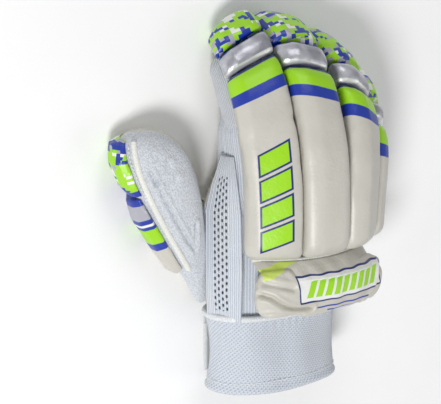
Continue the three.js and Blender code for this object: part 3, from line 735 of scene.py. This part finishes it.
def honeycomb_knit():
    """The wristband's fine diagonal net of raised stitches."""
    paint = cloth("cuff_knit")
    uneven = wobble(paint, 9.0, 0.8)
    period = 1.9
    waves = []
    for turn in (52 * DEGREE, -38 * DEGREE):
        across = paint.weighted((paint.number("around"), math.cos(turn)),
                                (paint.number("height"), math.sin(turn)))
        waves.append(paint.math("SINE", paint.scaled(paint.add(across, uneven), 2 * math.pi / period)))
    net = paint.weighted((waves[0], 0.35), (paint.both(*waves), 0.4))
    # painted shade: the hollows of the net get the darker blue-grey
    shade = paint.mix(paint.rise(net, -0.5, 0.3), srgb(184, 193, 206), KNIT_WHITE)
    paint.colour(dirt(paint, shade, 0.22, 20.0))
    paint.relief(paint.add(net, paint.scaled(paint.noise(0.6, 2), 0.5)), 0.42)
    return paint.material


def strap_knit():
    paint = cloth("strap_cloth")
    size = 0.9
    threads = paint.noise(size, 3, paint.stretch(0.45))
    loops = paint.cells(size)
    darker = paint.scaled(paint.rise(threads, 0.3, 0.65), 0.5)
    shade = paint.mix(darker, srgb(222, 223, 222), srgb(196, 198, 200))
    paint.colour(dirt(paint, shade, 0.2))
    paint.relief(paint.add(threads, paint.scaled(loops, -0.6)), 0.28)
    return paint.material


def palm_leather():
    paint = Paint("palm_leather", Roughness=0.72, Sheen_Weight=0.15, Specular_IOR_Level=0.3)
    creases = paint.noise(7.0, 3, paint.stretch(0.35), distortion=1.4)
    # painted shade: the sunk parts of the creases are darker
    shade = paint.mix(paint.rise(creases, 0.28, 0.55), srgb(194, 190, 176), BEIGE)
    paint.colour(dirt(paint, shade, 0.4))
    pores = paint.cells(0.9)
    paint.relief(paint.weighted((creases, 3.0), (pores, -0.4), (paint.noise(1.4, 3), 0.5)), 0.2)
    return paint.material


def hook_pile():
    paint = Paint("hook_pile", Roughness=0.8, Sheen_Weight=0.2)
    hooks = paint.cells(0.8)
    paint.colour(paint.mix(paint.rise(hooks, 0.1, 0.6), srgb(48, 48, 52), BLACK))
    paint.relief(hooks, 0.5)
    return paint.material


def thread(name, colour):
    paint = Paint(name, Roughness=0.65, Sheen_Weight=0.3)
    paint.colour(paint.mix(paint.rise(paint.noise(0.8, 2), 0.35, 0.65), colour, PALE))
    paint.relief(paint.noise(0.5, 2), 0.1)
    return paint.material


def face_with(obj, material, chosen):
    """Gives the chosen faces a second material."""
    obj.data.materials.append(material)
    obj.data.polygons.foreach_set("material_index", np.array(chosen, dtype=np.int32))


# Pads on the fingers

def seam_place(name, local):
    """How far each point is past the seam at the end of the long roll."""
    finger = FINGERS[name]
    seam = finger["roll"] * finger["length"]
    share = local[:, 0] / finger["length"]
    slant = finger["slant"] * smooth(0.25, 0.6, share)
    return local[:, 0] - seam - slant * local[:, 1]


def room_beside(name, up):
    """Half the width that a pad has between its neighbours at a height."""
    finger = FINGERS[name]
    half = (finger["end"] - finger["start"]) / 2 * DEGREE
    return (ROLL_MID_RADIUS + np.maximum(up, -ROLL_THICK / 2)) * math.tan(half)


def keep_beside(obj, name, past_low, past_high):
    """Flattens a swollen pad where it meets its neighbours and its seat."""
    points = points_of(obj)
    local = finger_coordinates(points, name)
    axes = axes_beside(name, local)
    gap, give = 0.15, 0.9
    room = room_beside(name, local[:, 2]) - gap
    push = -np.sign(local[:, 1]) * np.maximum(np.abs(local[:, 1]) - room, 0) * give
    past = seam_place(name, local)
    back = np.maximum(past_low - past, 0) - np.maximum(past - past_high, 0)
    move_points(obj, points + (axes[:, 1] * push[:, None] + axes[:, 0] * back[:, None]) * MM)


def fill_room(obj, name, past_low, past_high):
    """Widens a swollen pad until it meets the pads beside and past its ends,
    and raises the soft ridge along its top."""
    points = points_of(obj)
    local = finger_coordinates(points, name)
    axes = axes_beside(name, local)
    gap, around, most_gain = 0.2, 2.2, 0.35
    share = local[:, 1] / (room_beside(name, local[:, 2]) - gap)
    stations = np.arange(local[:, 0].min() + 1.5, local[:, 0].max() - 1, 3.0)
    push = np.zeros(len(points))
    for side in (-1, 1):
        widest = [(share[np.abs(local[:, 0] - at) < around] * side).max() for at in stations]
        gain = np.clip(1 / np.array(widest) - 1, 0, most_gain)
        part = local[:, 1] * side > 0
        push[part] = local[part, 1] * np.interp(local[part, 0], stations, gain)
    past = seam_place(name, local)
    ahead = np.zeros(len(points))
    reach = 7.0
    if past_high < OPEN_END:
        ahead += smooth(past.max() - reach, past.max(), past) * (past_high - past.max())
    if past_low > 0:
        ahead += smooth(past.min() + reach, past.min(), past) * (past_low - past.min())
    ridge_height, ridge_width = 0.9, 3.0
    from_ridge = np.abs(local[:, 1] - FINGERS[name]["ridge"])
    ridge = ridge_height * np.exp(-from_ridge / ridge_width) * smooth(0, 4, local[:, 2])
    move = axes[:, 1] * push[:, None] + axes[:, 0] * ahead[:, None] + axes[:, 2] * ridge[:, None]
    move_points(obj, points + move * MM)


def mark_finger(obj, name, motif):
    """Stores a pad's own coordinates for its printed bands."""
    local = finger_coordinates(points_of(obj), name)
    past = seam_place(name, local)
    store(obj, along=local[:, 0], across=local[:, 1], up=local[:, 2], past=past, edge=-past,
          motif=np.full(len(local), motif))


def soft_folds(obj, size, height, seed):
    """Low soft bulges of filling under the skin."""
    points = points_of(obj)
    move_points(obj, points + normals_of(obj) * (grain_noise(points, size, seed) * height * MM)[:, None])


# How each kind of finger pad is made, with its voxels and folds in millimetres
KINDS = {
    "roll": dict(voxel=2.8, smoothing=2, fold=16, slot="ivory_pad", skin=ivory_leather()),
    "knuckle": dict(voxel=1.8, smoothing=1, fold=9, slot="silver_pad", skin=silver_leather()),
    "tip": dict(voxel=1.8, smoothing=1, fold=9, slot="printed_pad", skin=printed_leather()),
}
SEAM_GAP = 0.1

pads = Pads()
finger_pads = []
for finger_name, finger in FINGERS.items():
    seam = finger["roll"] * finger["length"]
    knuckle = KNUCKLE_SHARE * finger["length"]
    rows = (("roll", -seam, -SEAM_GAP), ("knuckle", SEAM_GAP, knuckle - SEAM_GAP),
            ("tip", knuckle + SEAM_GAP, OPEN_END))
    for kind, low, high in rows:
        node = f"{finger_name}_{kind}"
        make = KINDS[kind]
        pad = pads.add(node, f"{node}_pad", make["voxel"], shrink=0.4, cap=1.6, smoothing=make["smoothing"])
        finger_pads.append((pad, node, finger_name, make, low, high))
wrist_pad = pads.add("wrist_roll", "wrist_roll_pad", voxel=3.2, shrink=0.9, cap=2.6, smoothing=4)
guard_pads = [pads.add(node, f"{node}_pad", voxel=1.5, shrink=0.2, cap=1.0, smoothing=1)
              for node in ("thumb_guard", "thumb_tip")]
pads.settle()

for seed, (pad, node, finger_name, make, low, high) in enumerate(finger_pads):
    fill_room(pad, finger_name, low, high)
    keep_beside(pad, finger_name, low, high)
    subdivide(pad, 1)
    soft_folds(pad, make["fold"], 0.35, seed)
    keep_beside(pad, finger_name, low, high)
    mark_finger(pad, finger_name, 1.0 if node == "index_roll" else 0.0)
    own(pad, make["skin"], node, slot=make["slot"])


# The wrist roll

ROLL_HALF_LENGTH = 46.5
ROLL_HALF_WIDTH = 17.5
ROLL_HALF_HEIGHT = 9
ROLL_SAG = 13
ROLL_CENTRE = place(1, CUFF_LENGTH + 2 + ROLL_HALF_WIDTH, 0)
ROLL_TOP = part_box("wrist_roll")[1][2] / MM


def roll_middle(along):
    """The height of the wrist roll's middle line, which sags to its ends."""
    return ROLL_TOP - ROLL_HALF_HEIGHT - ROLL_SAG * (along / ROLL_HALF_LENGTH) ** 2


def mark_wrist(obj):
    points = points_of(obj) / MM
    along = points[:, 0] - ROLL_CENTRE.x / MM
    store(obj, along=along, across=points[:, 1] - ROLL_CENTRE.y / MM, up=points[:, 2] - roll_middle(along))


def on_roll(along, turn):
    """A point on the wrist roll's skin; turn 0 is its front edge, 90 its top."""
    turn *= DEGREE
    return Vector((ROLL_CENTRE.x + along * MM, ROLL_CENTRE.y + ROLL_HALF_WIDTH * math.cos(turn) * MM,
                   (roll_middle(along) + ROLL_HALF_HEIGHT * math.sin(turn)) * MM))


def swell(obj, at, height, width):
    """Raises a soft round bulge at a point of a piece, in millimetres."""
    points = points_of(obj)
    reach = np.linalg.norm(points - np.array(tuple(at)), axis=1) / (width * MM)
    move_points(obj, points + normals_of(obj) * (height * MM * np.exp(-reach ** 2))[:, None])


subdivide(wrist_pad, 2)
soft_folds(wrist_pad, 13, 0.8, 40)
swell(wrist_pad, on_roll(-33, 84), 2.0, 9.0)
# The folds of the wrist roll: depth, width, pinch and a path of along and turn
FOLDS = (
    (3.2, 1.3, 1.2, ((-46, 84), (-41, 90), (-38, 98), (-33, 110), (-27, 119), (-21, 122), (-16, 120))),
    (1.8, 1.5, 0.6, ((-44, 140), (-38, 135), (-30, 137), (-22, 145))),
    (1.6, 1.5, 0.6, ((-43, 60), (-36, 66), (-28, 74))),
    (1.2, 1.8, 0.4, ((-24, 40), (6, 36), (36, 44))),
    (1.6, 1.7, 0.6, ((30, 150), (36, 124), (42, 96), (44, 72))),
    (1.0, 1.6, 0.3, ((-2, 150), (12, 142), (26, 141))),
)
crease_all(wrist_pad, on_roll, FOLDS)
mark_wrist(wrist_pad)
own(wrist_pad, wrist_leather(), "wrist_roll", slot="ivory_pad")


def welt_point(angle, lift=0.0):
    """A point on the piped seam at the long rolls' lower ends."""
    radius = ARCH_RADIUS - ROLL_THICK + 1.3 + lift
    return place(radius * math.sin(angle * DEGREE), ROLL_START_Y - 1.9,
                 ARCH_CENTRE_Z + radius * math.cos(angle * DEGREE))


def roll_flange():
    """The skin of the wrist roll that runs on to the piped seam."""
    rows, columns = 10, 72
    first, last = -40, 36
    vertices = []
    for i in range(rows + 1):
        share = i / rows
        for k in range(columns + 1):
            along = first + (last - first) * k / columns
            angle = math.asin((along + 1) / (ARCH_RADIUS - ROLL_THICK)) / DEGREE
            start, end = on_roll(along, 62), welt_point(angle, 1.6)
            at = start.lerp(end, share)
            at.z -= (0.7 * math.sin(math.pi * share) + 4 * smooth(32, 42, abs(along + 2))) * MM
            at.z += 0.35 * math.sin(along * 0.55 + 2 * share) * math.sin(math.pi * share) * MM
            vertices.append(at)
    obj = new_object("wrist_roll_flange", vertices, grid_faces(rows, columns))
    thicken(obj, 1.2, 0)
    subdivide(obj, 1)
    return obj


flange = roll_flange()
mark_wrist(flange)
own(flange, wrist_pad.data.materials[0], slot="ivory_pad")


# The thumb

def thumb_point(at, turn, rise=0.0):
    """A point of the thumb's outside; turn 0 is its outer edge, 90 its top."""
    reach_out, along_out, reach_in, along_in, thick, lift = (
        np.interp(at, THUMB_ROWS[:, 0], THUMB_ROWS[:, k]) for k in range(1, 7))
    outer = Vector((-HAND_HALF_WIDTH - reach_out * THUMB_REACH, CUFF_LENGTH + along_out * THUMB_LENGTH, 0))
    inner = Vector((-HAND_HALF_WIDTH - reach_in * THUMB_REACH, CUFF_LENGTH + along_in * THUMB_LENGTH, 0))
    half = thick * THUMB_THICK / 2
    out = outer - inner
    centre = (outer + inner) / 2 + Vector((0, 0, lift * THUMB_THICK + half))
    turn *= DEGREE
    point = centre + out.normalized() * (out.length / 2 + rise) * math.cos(turn)
    point.z += (half + rise) * math.sin(turn)
    return place(*point)


def thumb_skin():
    """The thumb as a smooth sleeve with its wall."""
    rings, sides = THUMB_ROWS[:, 0], 18
    vertices = [thumb_point(at, 360 * k / sides, 0.5) for at in rings for k in range(sides)]
    faces = ring_faces(len(rings) - 1, sides)
    last = (len(rings) - 1) * sides
    end = sum(vertices[last:], Vector()) / sides
    vertices.append(end + Vector((0, 0.5, 0)) * MM)
    faces += [(last + k, last + (k + 1) % sides, last + sides) for k in range(sides)]
    obj = new_object("thumb_towelling", vertices, faces)
    subdivide(obj, 4)
    return obj


thumb = thumb_skin()
soft_folds(thumb, 22, 0.7, 51)
soft_folds(thumb, 7, 0.25, 52)
# The seams of the thumb: depth, width, pinch and a path of at and turn
SEAMS = (
    (1.6, 1.1, 0.9, ((0.8, 58), (0.66, 58), (0.52, 59), (0.4, 60), (0.3, 64), (0.33, 76), (0.39, 90))),
    (0.9, 2.0, 0.4, ((0.75, 64), (0.765, 78), (0.79, 92))),
    (0.8, 2.0, 0.4, ((0.69, 68), (0.7, 80), (0.715, 92))),
)
crease_all(thumb, thumb_point, SEAMS)
thicken(thumb, 1.6, -1)
own(thumb, towelling(), "thumb_stall", slot="towelling")


def mark_guard(obj):
    """Counts how far each point is along the thumb's outer edge."""
    stations = np.linspace(0.3, 1.0, 60)
    edge = np.array([thumb_point(at, 0) for at in stations]) / MM
    runs = np.concatenate(([0], np.cumsum(np.linalg.norm(np.diff(edge, axis=0), axis=1))))
    points = points_of(obj) / MM
    far = np.linalg.norm(points[:, None, :2] - edge[None, :, :2], axis=2)
    nearest = far.argmin(axis=1)
    step = np.clip(nearest, 1, len(stations) - 2)
    ahead = edge[step + 1, :2] - edge[step - 1, :2]
    ahead /= np.linalg.norm(ahead, axis=1)[:, None]
    run = runs[step] + ((points[:, :2] - edge[step, :2]) * ahead).sum(axis=1)
    store(obj, run=run, across=points[:, 2] - THUMB_THICK / 2, up=far[np.arange(len(points)), nearest])


def thumb_turns(points):
    """How far along the thumb each point is, its turn round the section in
    degrees, and its place against the section's edge."""
    stations = np.linspace(0, 1.0, 101)
    edge, inner, top = (np.array([tuple(thumb_point(at, turn)) for at in stations]) for turn in (0, 180, 90))
    centre = (edge + inner) / 2
    out = (edge - inner) / 2
    length = np.linalg.norm(out, axis=1)
    out /= length[:, None]
    ahead = np.stack((-out[:, 1], out[:, 0]), axis=1)
    near = np.abs(((points[:, None, :2] - centre[None, :, :2]) * ahead).sum(axis=2)).argmin(axis=1)
    offset = points - centre[near]
    level = (offset * out[near]).sum(axis=1) / length[near]
    rise = offset[:, 2] / (top[near, 2] - centre[near, 2])
    return near, np.degrees(np.arctan2(rise, level)), np.hypot(rise, level), centre, out, length, top


def narrow_strip(obj, limit):
    """Turns the upper border of a strip down to a limit, in degrees."""
    points = points_of(obj)
    near, turn, ratio, centre, out, length, top = thumb_turns(points)
    high = np.percentile(turn, 98)
    ratio = np.where(ratio > 1, 1 + (ratio - 1) * (0.5 + 0.3 * smooth(70, 84, near)), ratio)
    turn = np.where(turn > 0, turn * min(1, limit / high), turn) * DEGREE
    moved = centre[near] + out[near] * (ratio * np.cos(turn) * length[near])[:, None]
    moved[:, 2] = centre[near, 2] + ratio * np.sin(turn) * (top[near, 2] - centre[near, 2])
    move_points(obj, moved)


strip = guard_leather()
for seed, (pad, node, slot_name) in enumerate(zip(guard_pads, ("thumb_guard", "thumb_tip"),
                                                  ("ivory_pad", "printed_pad"))):
    if node == "thumb_tip":
        narrow_strip(pad, 24)
    subdivide(pad, 1)
    soft_folds(pad, 8, 0.3, 60 + seed)
    mark_guard(pad)
    own(pad, strip, node, slot=slot_name)


# The palm leather of the thumb, which also folds over its inner edge
leather = palm_leather()
turns = thumb_turns(vectors_of(thumb.data.polygons, "center"))[1]
face_with(thumb, leather, (np.abs(turns) > 148) | (turns < -22))


# The wristband

def cuff_point(direction, grow):
    c, s = math.cos(direction), math.sin(direction)
    half = CUFF_HEIGHT / 2
    reach = (abs(c / (CUFF_HALF_WIDTH + grow)) ** CUFF_SQUARENESS
             + abs(s / (half + grow)) ** CUFF_SQUARENESS) ** (-1 / CUFF_SQUARENESS)
    z = max(STRAP_SPACE + half - CUFF_FLATTENED + reach * s, STRAP_SPACE - grow)
    return CUFF_CENTRE_X + reach * c, z


def wrist_cloth():
    """The knitted cuff with its rolled hem and a few slack waves."""
    sides, rows, waves, gathers = 176, 44, 5, 30
    vertices, around, height = [], [], []
    ring = [cuff_point(2 * math.pi * k / sides, 0) for k in range(sides + 1)]
    steps = [math.dist(a, b) for a, b in zip(ring[:-1], ring[1:])]
    girth = np.concatenate(([0], np.cumsum(steps)))
    for i in range(rows + 1):
        share = i / rows
        hem = 0.9 * math.exp(-((share - 0.035) / 0.035) ** 2)
        waist = -2.0 * math.sin(math.pi * share)
        for k in range(sides):
            turn = 2 * math.pi * k / sides
            wave = 0.8 * math.sin(turn * waves + 1.3) * share * (1 - share) * 4
            gather = 0.35 * math.sin(turn * gathers) * smooth(0.75, 1.0, share)
            x, z = cuff_point(turn, waist + hem + wave + gather)
            y = share * CUFF_LENGTH + 0.7 * math.sin(turn * 2 + 0.6) * (1 - share)
            vertices.append(place(x, y, max(z, STRAP_SPACE)))
            around.append(girth[k])
            height.append(share * CUFF_LENGTH)
    obj = new_object("wrist_cloth", vertices, ring_faces(rows, sides))
    store(obj, around=around, height=height)
    thicken(obj, 1.6, 1)
    return obj


cuff = wrist_cloth()
own(cuff, honeycomb_knit(), "wristband", slot="cuff_knit")


# The hand and the finger stalls

def skin(node, name, voxel, smoothing, fold_size, fold_height, seed):
    obj = copy_node(node, name)
    remesh(obj, voxel, smoothing)
    soft_folds(obj, fold_size, fold_height, seed)
    return obj


back_cloth = ribbed_knit("back_knit", KNIT_WHITE, srgb(190, 198, 210), 2.3, 0.3)
hand = skin("hand_body", "hand_cloth", 1.0, 2, 14, 0.2, 71)
hand_points = points_of(hand) / MM
store(hand, around=hand_points[:, 0] + hand_points[:, 2] * 0.8, height=hand_points[:, 1])
own(hand, back_cloth, "hand_body", slot="hand_cloth")
facing_down = vectors_of(hand.data.polygons, "normal")[:, 2] < -0.25
low_down = vectors_of(hand.data.polygons, "center")[:, 2] < 26 * MM
face_with(hand, leather, facing_down & low_down)


def thumb_web():
    """The leather between the palm and the thumb's underside."""
    rows, columns, passes = 48, 12, 8
    tucked_in, sag, lowest = 2.5, 0.9, 0.4
    vertices = []
    starts = [thumb_point(0.04 + 0.46 * i / rows, 244, 0.2) for i in range(rows + 1)]
    ends = []
    for start in starts:
        below_palm = Vector((start.x + 13 * MM, start.y, -5 * MM))
        ends.append(hand.closest_point_on_mesh(below_palm)[1])
    for _ in range(passes):
        ends = [(ends[max(i - 1, 0)] + ends[i] + ends[min(i + 1, rows)]) / 3 for i in range(rows + 1)]
    for start, end in zip(starts, ends):
        over = (end - start).normalized() * tucked_in * MM
        for k in range(columns + 1):
            share = k / columns
            point = (start - over).lerp(end + over, share)
            point.z = max(point.z - sag * math.sin(math.pi * share) * MM, lowest * MM)
            vertices.append(point)
    obj = new_object("thumb_web_leather", vertices, grid_faces(rows, columns))
    thicken(obj, 1.2, 0)
    subdivide(obj, 1)
    return obj


web = thumb_web()
own(web, leather, slot="palm_leather")

side_cloth = ribbed_knit("side_knit", srgb(214, 217, 222), srgb(186, 191, 200), 1.7, 0.3)
# How far below the padding the leather of a stall begins
STALL_SIDE = 13
for seed, finger_name in enumerate(FINGERS):
    stall = skin(f"{finger_name}_stall", f"{finger_name}_stall_cloth", 1.1, 3, 9, 0.45, 80 + seed)
    own(stall, side_cloth, f"{finger_name}_stall", slot="palm_leather")
    local = finger_coordinates(points_of(stall), finger_name)
    store(stall, around=local[:, 2] + local[:, 1], height=local[:, 0])
    level = np.array([local[list(face.vertices), 2].mean() for face in stall.data.polygons])
    face_with(stall, leather, level < -ROLL_THICK / 2 - STALL_SIDE)


# The mesh side panel

GUSSET_TOP = 45.5
GUSSET_LOW = 22
GUSSET_LEAN = 10.2
GUSSET_TOP_X = -48.3
GUSSET_GAP = 0.3
GUSSET_LENGTH = ROLL_START_Y + 0.366 * FINGERS["middle"]["length"] - CUFF_LENGTH - GUSSET_GAP
# Along the panel: where, its upper and lower border and how far it sinks
GUSSET_ROWS = ((0, 0.3, 0.66, 0.82, 1), (0.96, 1, 1, 0.97, 0.93), (0.04, 0, 0.04, 0.26, 0.62),
               (0, 0, 0.02, 0.05, 0.1))


def gusset_point(at, up, out):
    top, low, sink = (np.interp(at, GUSSET_ROWS[0], GUSSET_ROWS[k]) for k in (1, 2, 3))
    share = low + (top - low) * up
    rise = GUSSET_TOP - GUSSET_LOW
    slope = math.hypot(rise, GUSSET_LEAN)
    x = GUSSET_TOP_X - GUSSET_LEAN * (1 - share) - out * rise / slope
    z = GUSSET_LOW + rise * share + out * GUSSET_LEAN / slope
    return place(x, CUFF_LENGTH + GUSSET_GAP + at * GUSSET_LENGTH, z - sink * ARCH_RADIUS)


PANEL_WALL = 0.9


def mesh_panel():
    """Knitted net with open eyelets between ribs, bulged as it is sewn in."""
    rows, columns, ribs, width = 150, 27, 9, 26
    vertices, around, height = [], [], []
    for i in range(rows + 1):
        at = i / rows
        for k in range(columns + 1):
            up = k / columns
            bulge = 1.6 * math.sin(math.pi * up) * min(1, 6 * at, 6 * (1 - at))
            rib = 0.3 * math.cos(2 * math.pi * up * ribs)
            vertices.append(gusset_point(at, up, bulge + rib))
            around.append(up * width)
            height.append(at * GUSSET_LENGTH)

    def is_eyelet(i, k):
        stagger = 3 if (k // 3) % 2 else 0
        return k % 3 == 1 and (i + stagger) % 6 in (1, 2, 3) and 5 < k < 18 and 8 < i < 132

    obj = new_object("mesh_panel", vertices, grid_faces(rows, columns, is_eyelet))
    store(obj, around=around, height=height)
    thicken(obj, PANEL_WALL, -1)
    subdivide(obj, 1)
    return obj


panel = mesh_panel()
net_knit = ribbed_knit("net_knit", srgb(219, 223, 229), srgb(186, 194, 206), 1.45, 0.25)
own(panel, net_knit, "mesh_gusset", slot="mesh_knit")


# The lower border of the cloth at the index finger's side, as Y, X and Z
SIDE_BORDER = ((88, 112, 126, 142, 162, 176), (-48.8, -48.8, -54, -48, -45.5, -43),
               (42, 41, 20, 15, 12, 10))


def side_panel():
    """The ribbed cloth that runs on from the net up the index finger's side."""
    vertices, around, height = [], [], []
    rows, columns, ribs, width = 90, 30, 13, 28
    first, last = 3, 90
    for i in range(rows + 1):
        along = first + (last - first) * i / rows
        high = finger_point("index", along, 1.0 - room_beside("index", -7.0), -6.5)
        y = high.y / MM - SHIFT.y
        x, z = (np.interp(y, SIDE_BORDER[0], SIDE_BORDER[k]) for k in (1, 2))
        low = place(x, y, z)
        tuck = 3.0 * smooth(76, last, along)
        deep = (low - high).length / MM
        for k in range(columns + 1):
            up = k / columns
            at = low.lerp(high, up)
            bulge = 0.09 * deep * math.sin(math.pi * up) + 0.009 * deep * math.cos(2 * math.pi * up * ribs)
            inward = 0.17 * deep * (1 - smooth(0, 0.22, up))
            at.x -= (bulge - inward - tuck) * MM
            vertices.append(at)
            around.append(up * width)
            height.append(along)
    obj = new_object("index_side_cloth", vertices, grid_faces(rows, columns))
    store(obj, around=around, height=height)
    thicken(obj, PANEL_WALL, -1)
    subdivide(obj, 1)
    return obj


side_knit = side_panel()
own(side_knit, net_knit, slot="mesh_knit")


# Seam, straps, patches and piping

def cuff_ring(y, grow, steps, lowest=0):
    """Points round the cuff at a height, none of them below lowest."""
    ring = [cuff_point(2 * math.pi * k / steps, grow) for k in range(steps)]
    return [place(x, y, max(z, lowest)) for x, z in ring]


SEAM_RADIUS = 2.0
seam_path = cuff_ring(CUFF_LENGTH + 1.7, 0.8, 48, SEAM_RADIUS)
cuff_seam = tube("cuff_seam", seam_path, SEAM_RADIUS, cyclic=True)
own(cuff_seam, thread("seam_thread", srgb(206, 211, 219)))


def dress(node, name, material, slot_name):
    """A softened copy of a flat node with its own material."""
    obj = copy_node(node, name)
    remesh(obj, 0.6, 2)
    own(obj, material, node, slot=slot_name)


dress("wrist_strap", "wrist_strap_cloth", strap_knit(), "strap_cloth")
dress("strap_patch", "strap_hook_patch", hook_pile(), "hook_patch")
for patch in ("palm_patch", "index_patch", "index_patch_low"):
    dress(patch, f"{patch}_leather", leather, "palm_leather")


piping = thread("piping", srgb(218, 217, 208))
welt = tube("welt_piping", [welt_point(-47 + 103 * k / 24) for k in range(25)], 1.7)
own(welt, piping, "roll_welt", slot="ivory_pad")

EDGE_PLACES = ((0.28, 32), (0.4, 33), (0.5, 33), (0.6, 34), (0.7, 36), (0.8, 38), (0.9, 40), (0.96, 43))
edging = tube("thumb_piping", [thumb_point(at, turn, 0.5) for at, turn in EDGE_PLACES], 1.9)
own(edging, piping)

white_thread = thread("white_thread", srgb(226, 228, 230))
hem_path = cuff_ring(6.5, -0.2, 120)
flange_path = [welt_point(-44 + 84 * k / 60, 2.2) - Vector((0, 2.6, 0)) * MM for k in range(61)]
guard_path = [thumb_point(0.29 + 0.66 * k / 60, 30, 0.7) for k in range(61)]
for row in (stitches("cuff_hem_stitches", [*hem_path, hem_path[0]]),
            stitches("flange_stitches", flange_path, 1.8, 1.2),
            stitches("thumb_strip_stitches", guard_path, 1.6, 1.1)):
    own(row, white_thread)


# Floor, light and camera

def floor():
    paint = Paint("floor", Roughness=0.9, Specular_IOR_Level=0.1)
    tone = paint.rise(paint.noise(90.0, 3), 0.3, 0.7)
    paint.colour(paint.mix(tone, srgb(249, 249, 249), srgb(252, 252, 252)))
    obj = new_object("floor", [(-4, -4, 0), (4, -4, 0), (4, 4, 0), (-4, 4, 0)], [(0, 1, 2, 3)])
    obj.data.materials.append(paint.material)


def lamp(name, at, size, watts):
    data = bpy.data.lights.new(name, "AREA")
    data.shape = "DISK"
    data.size = size
    data.energy = watts
    obj = bpy.data.objects.new(name, data)
    obj.location = at
    obj.rotation_euler = (LAMP_TARGET - Vector(at)).to_track_quat("-Z", "Y").to_euler()
    bpy.context.scene.collection.objects.link(obj)


LAMP_TARGET = Vector((0, 0, 0.03))
floor()
lamp("key", (-0.95, -0.5, 1.1), 0.45, 16)
lamp("fill", (1.0, -0.5, 0.9), 1.1, 3)
lamp("back", (-0.1, 1.2, 0.8), 0.7, 4)

world = bpy.data.worlds.new("studio")
world.use_nodes = True
background = world.node_tree.nodes["Background"]
background.inputs["Color"].default_value = (1, 1, 1, 1)
background.inputs["Strength"].default_value = 0.33
bpy.context.scene.world = world
bpy.context.scene.view_settings.view_transform = "Standard"

TURN = 35 * DEGREE
TILT = 15 * DEGREE
BACK = Vector((-math.sin(TURN) * math.cos(TILT), math.sin(TILT), math.cos(TURN) * math.cos(TILT)))
RIGHT = Vector((math.cos(TURN), 0, math.sin(TURN)))
UP = BACK.cross(RIGHT)
PHOTO_WIDTH = 441
PHOTO_HEIGHT = 404
PIXELS_PER_MM = 1.65
DISTANCE = 2.2
SENSOR_WIDTH = 36
# The photograph's point that shows the middle of the wrist, in pixels
WRIST_PIXEL = (264, 369.1)
view_u = (PHOTO_WIDTH / 2 - WRIST_PIXEL[0]) / PIXELS_PER_MM
view_v = (WRIST_PIXEL[1] - PHOTO_HEIGHT / 2) / PIXELS_PER_MM
GLOVE_DEPTH = 57.5
target = place(*(RIGHT * view_u + UP * view_v + BACK * GLOVE_DEPTH))
camera_data = bpy.data.cameras.new("camera")
camera_data.sensor_width = SENSOR_WIDTH
camera_data.lens = SENSOR_WIDTH * DISTANCE * 1000 / (PHOTO_WIDTH / PIXELS_PER_MM)
camera = bpy.data.objects.new("camera", camera_data)
facing = Matrix((RIGHT, UP, BACK)).transposed().to_4x4()
camera.matrix_world = Matrix.Translation(target + BACK * DISTANCE) @ facing
bpy.context.scene.collection.objects.link(camera)
bpy.context.scene.camera = camera
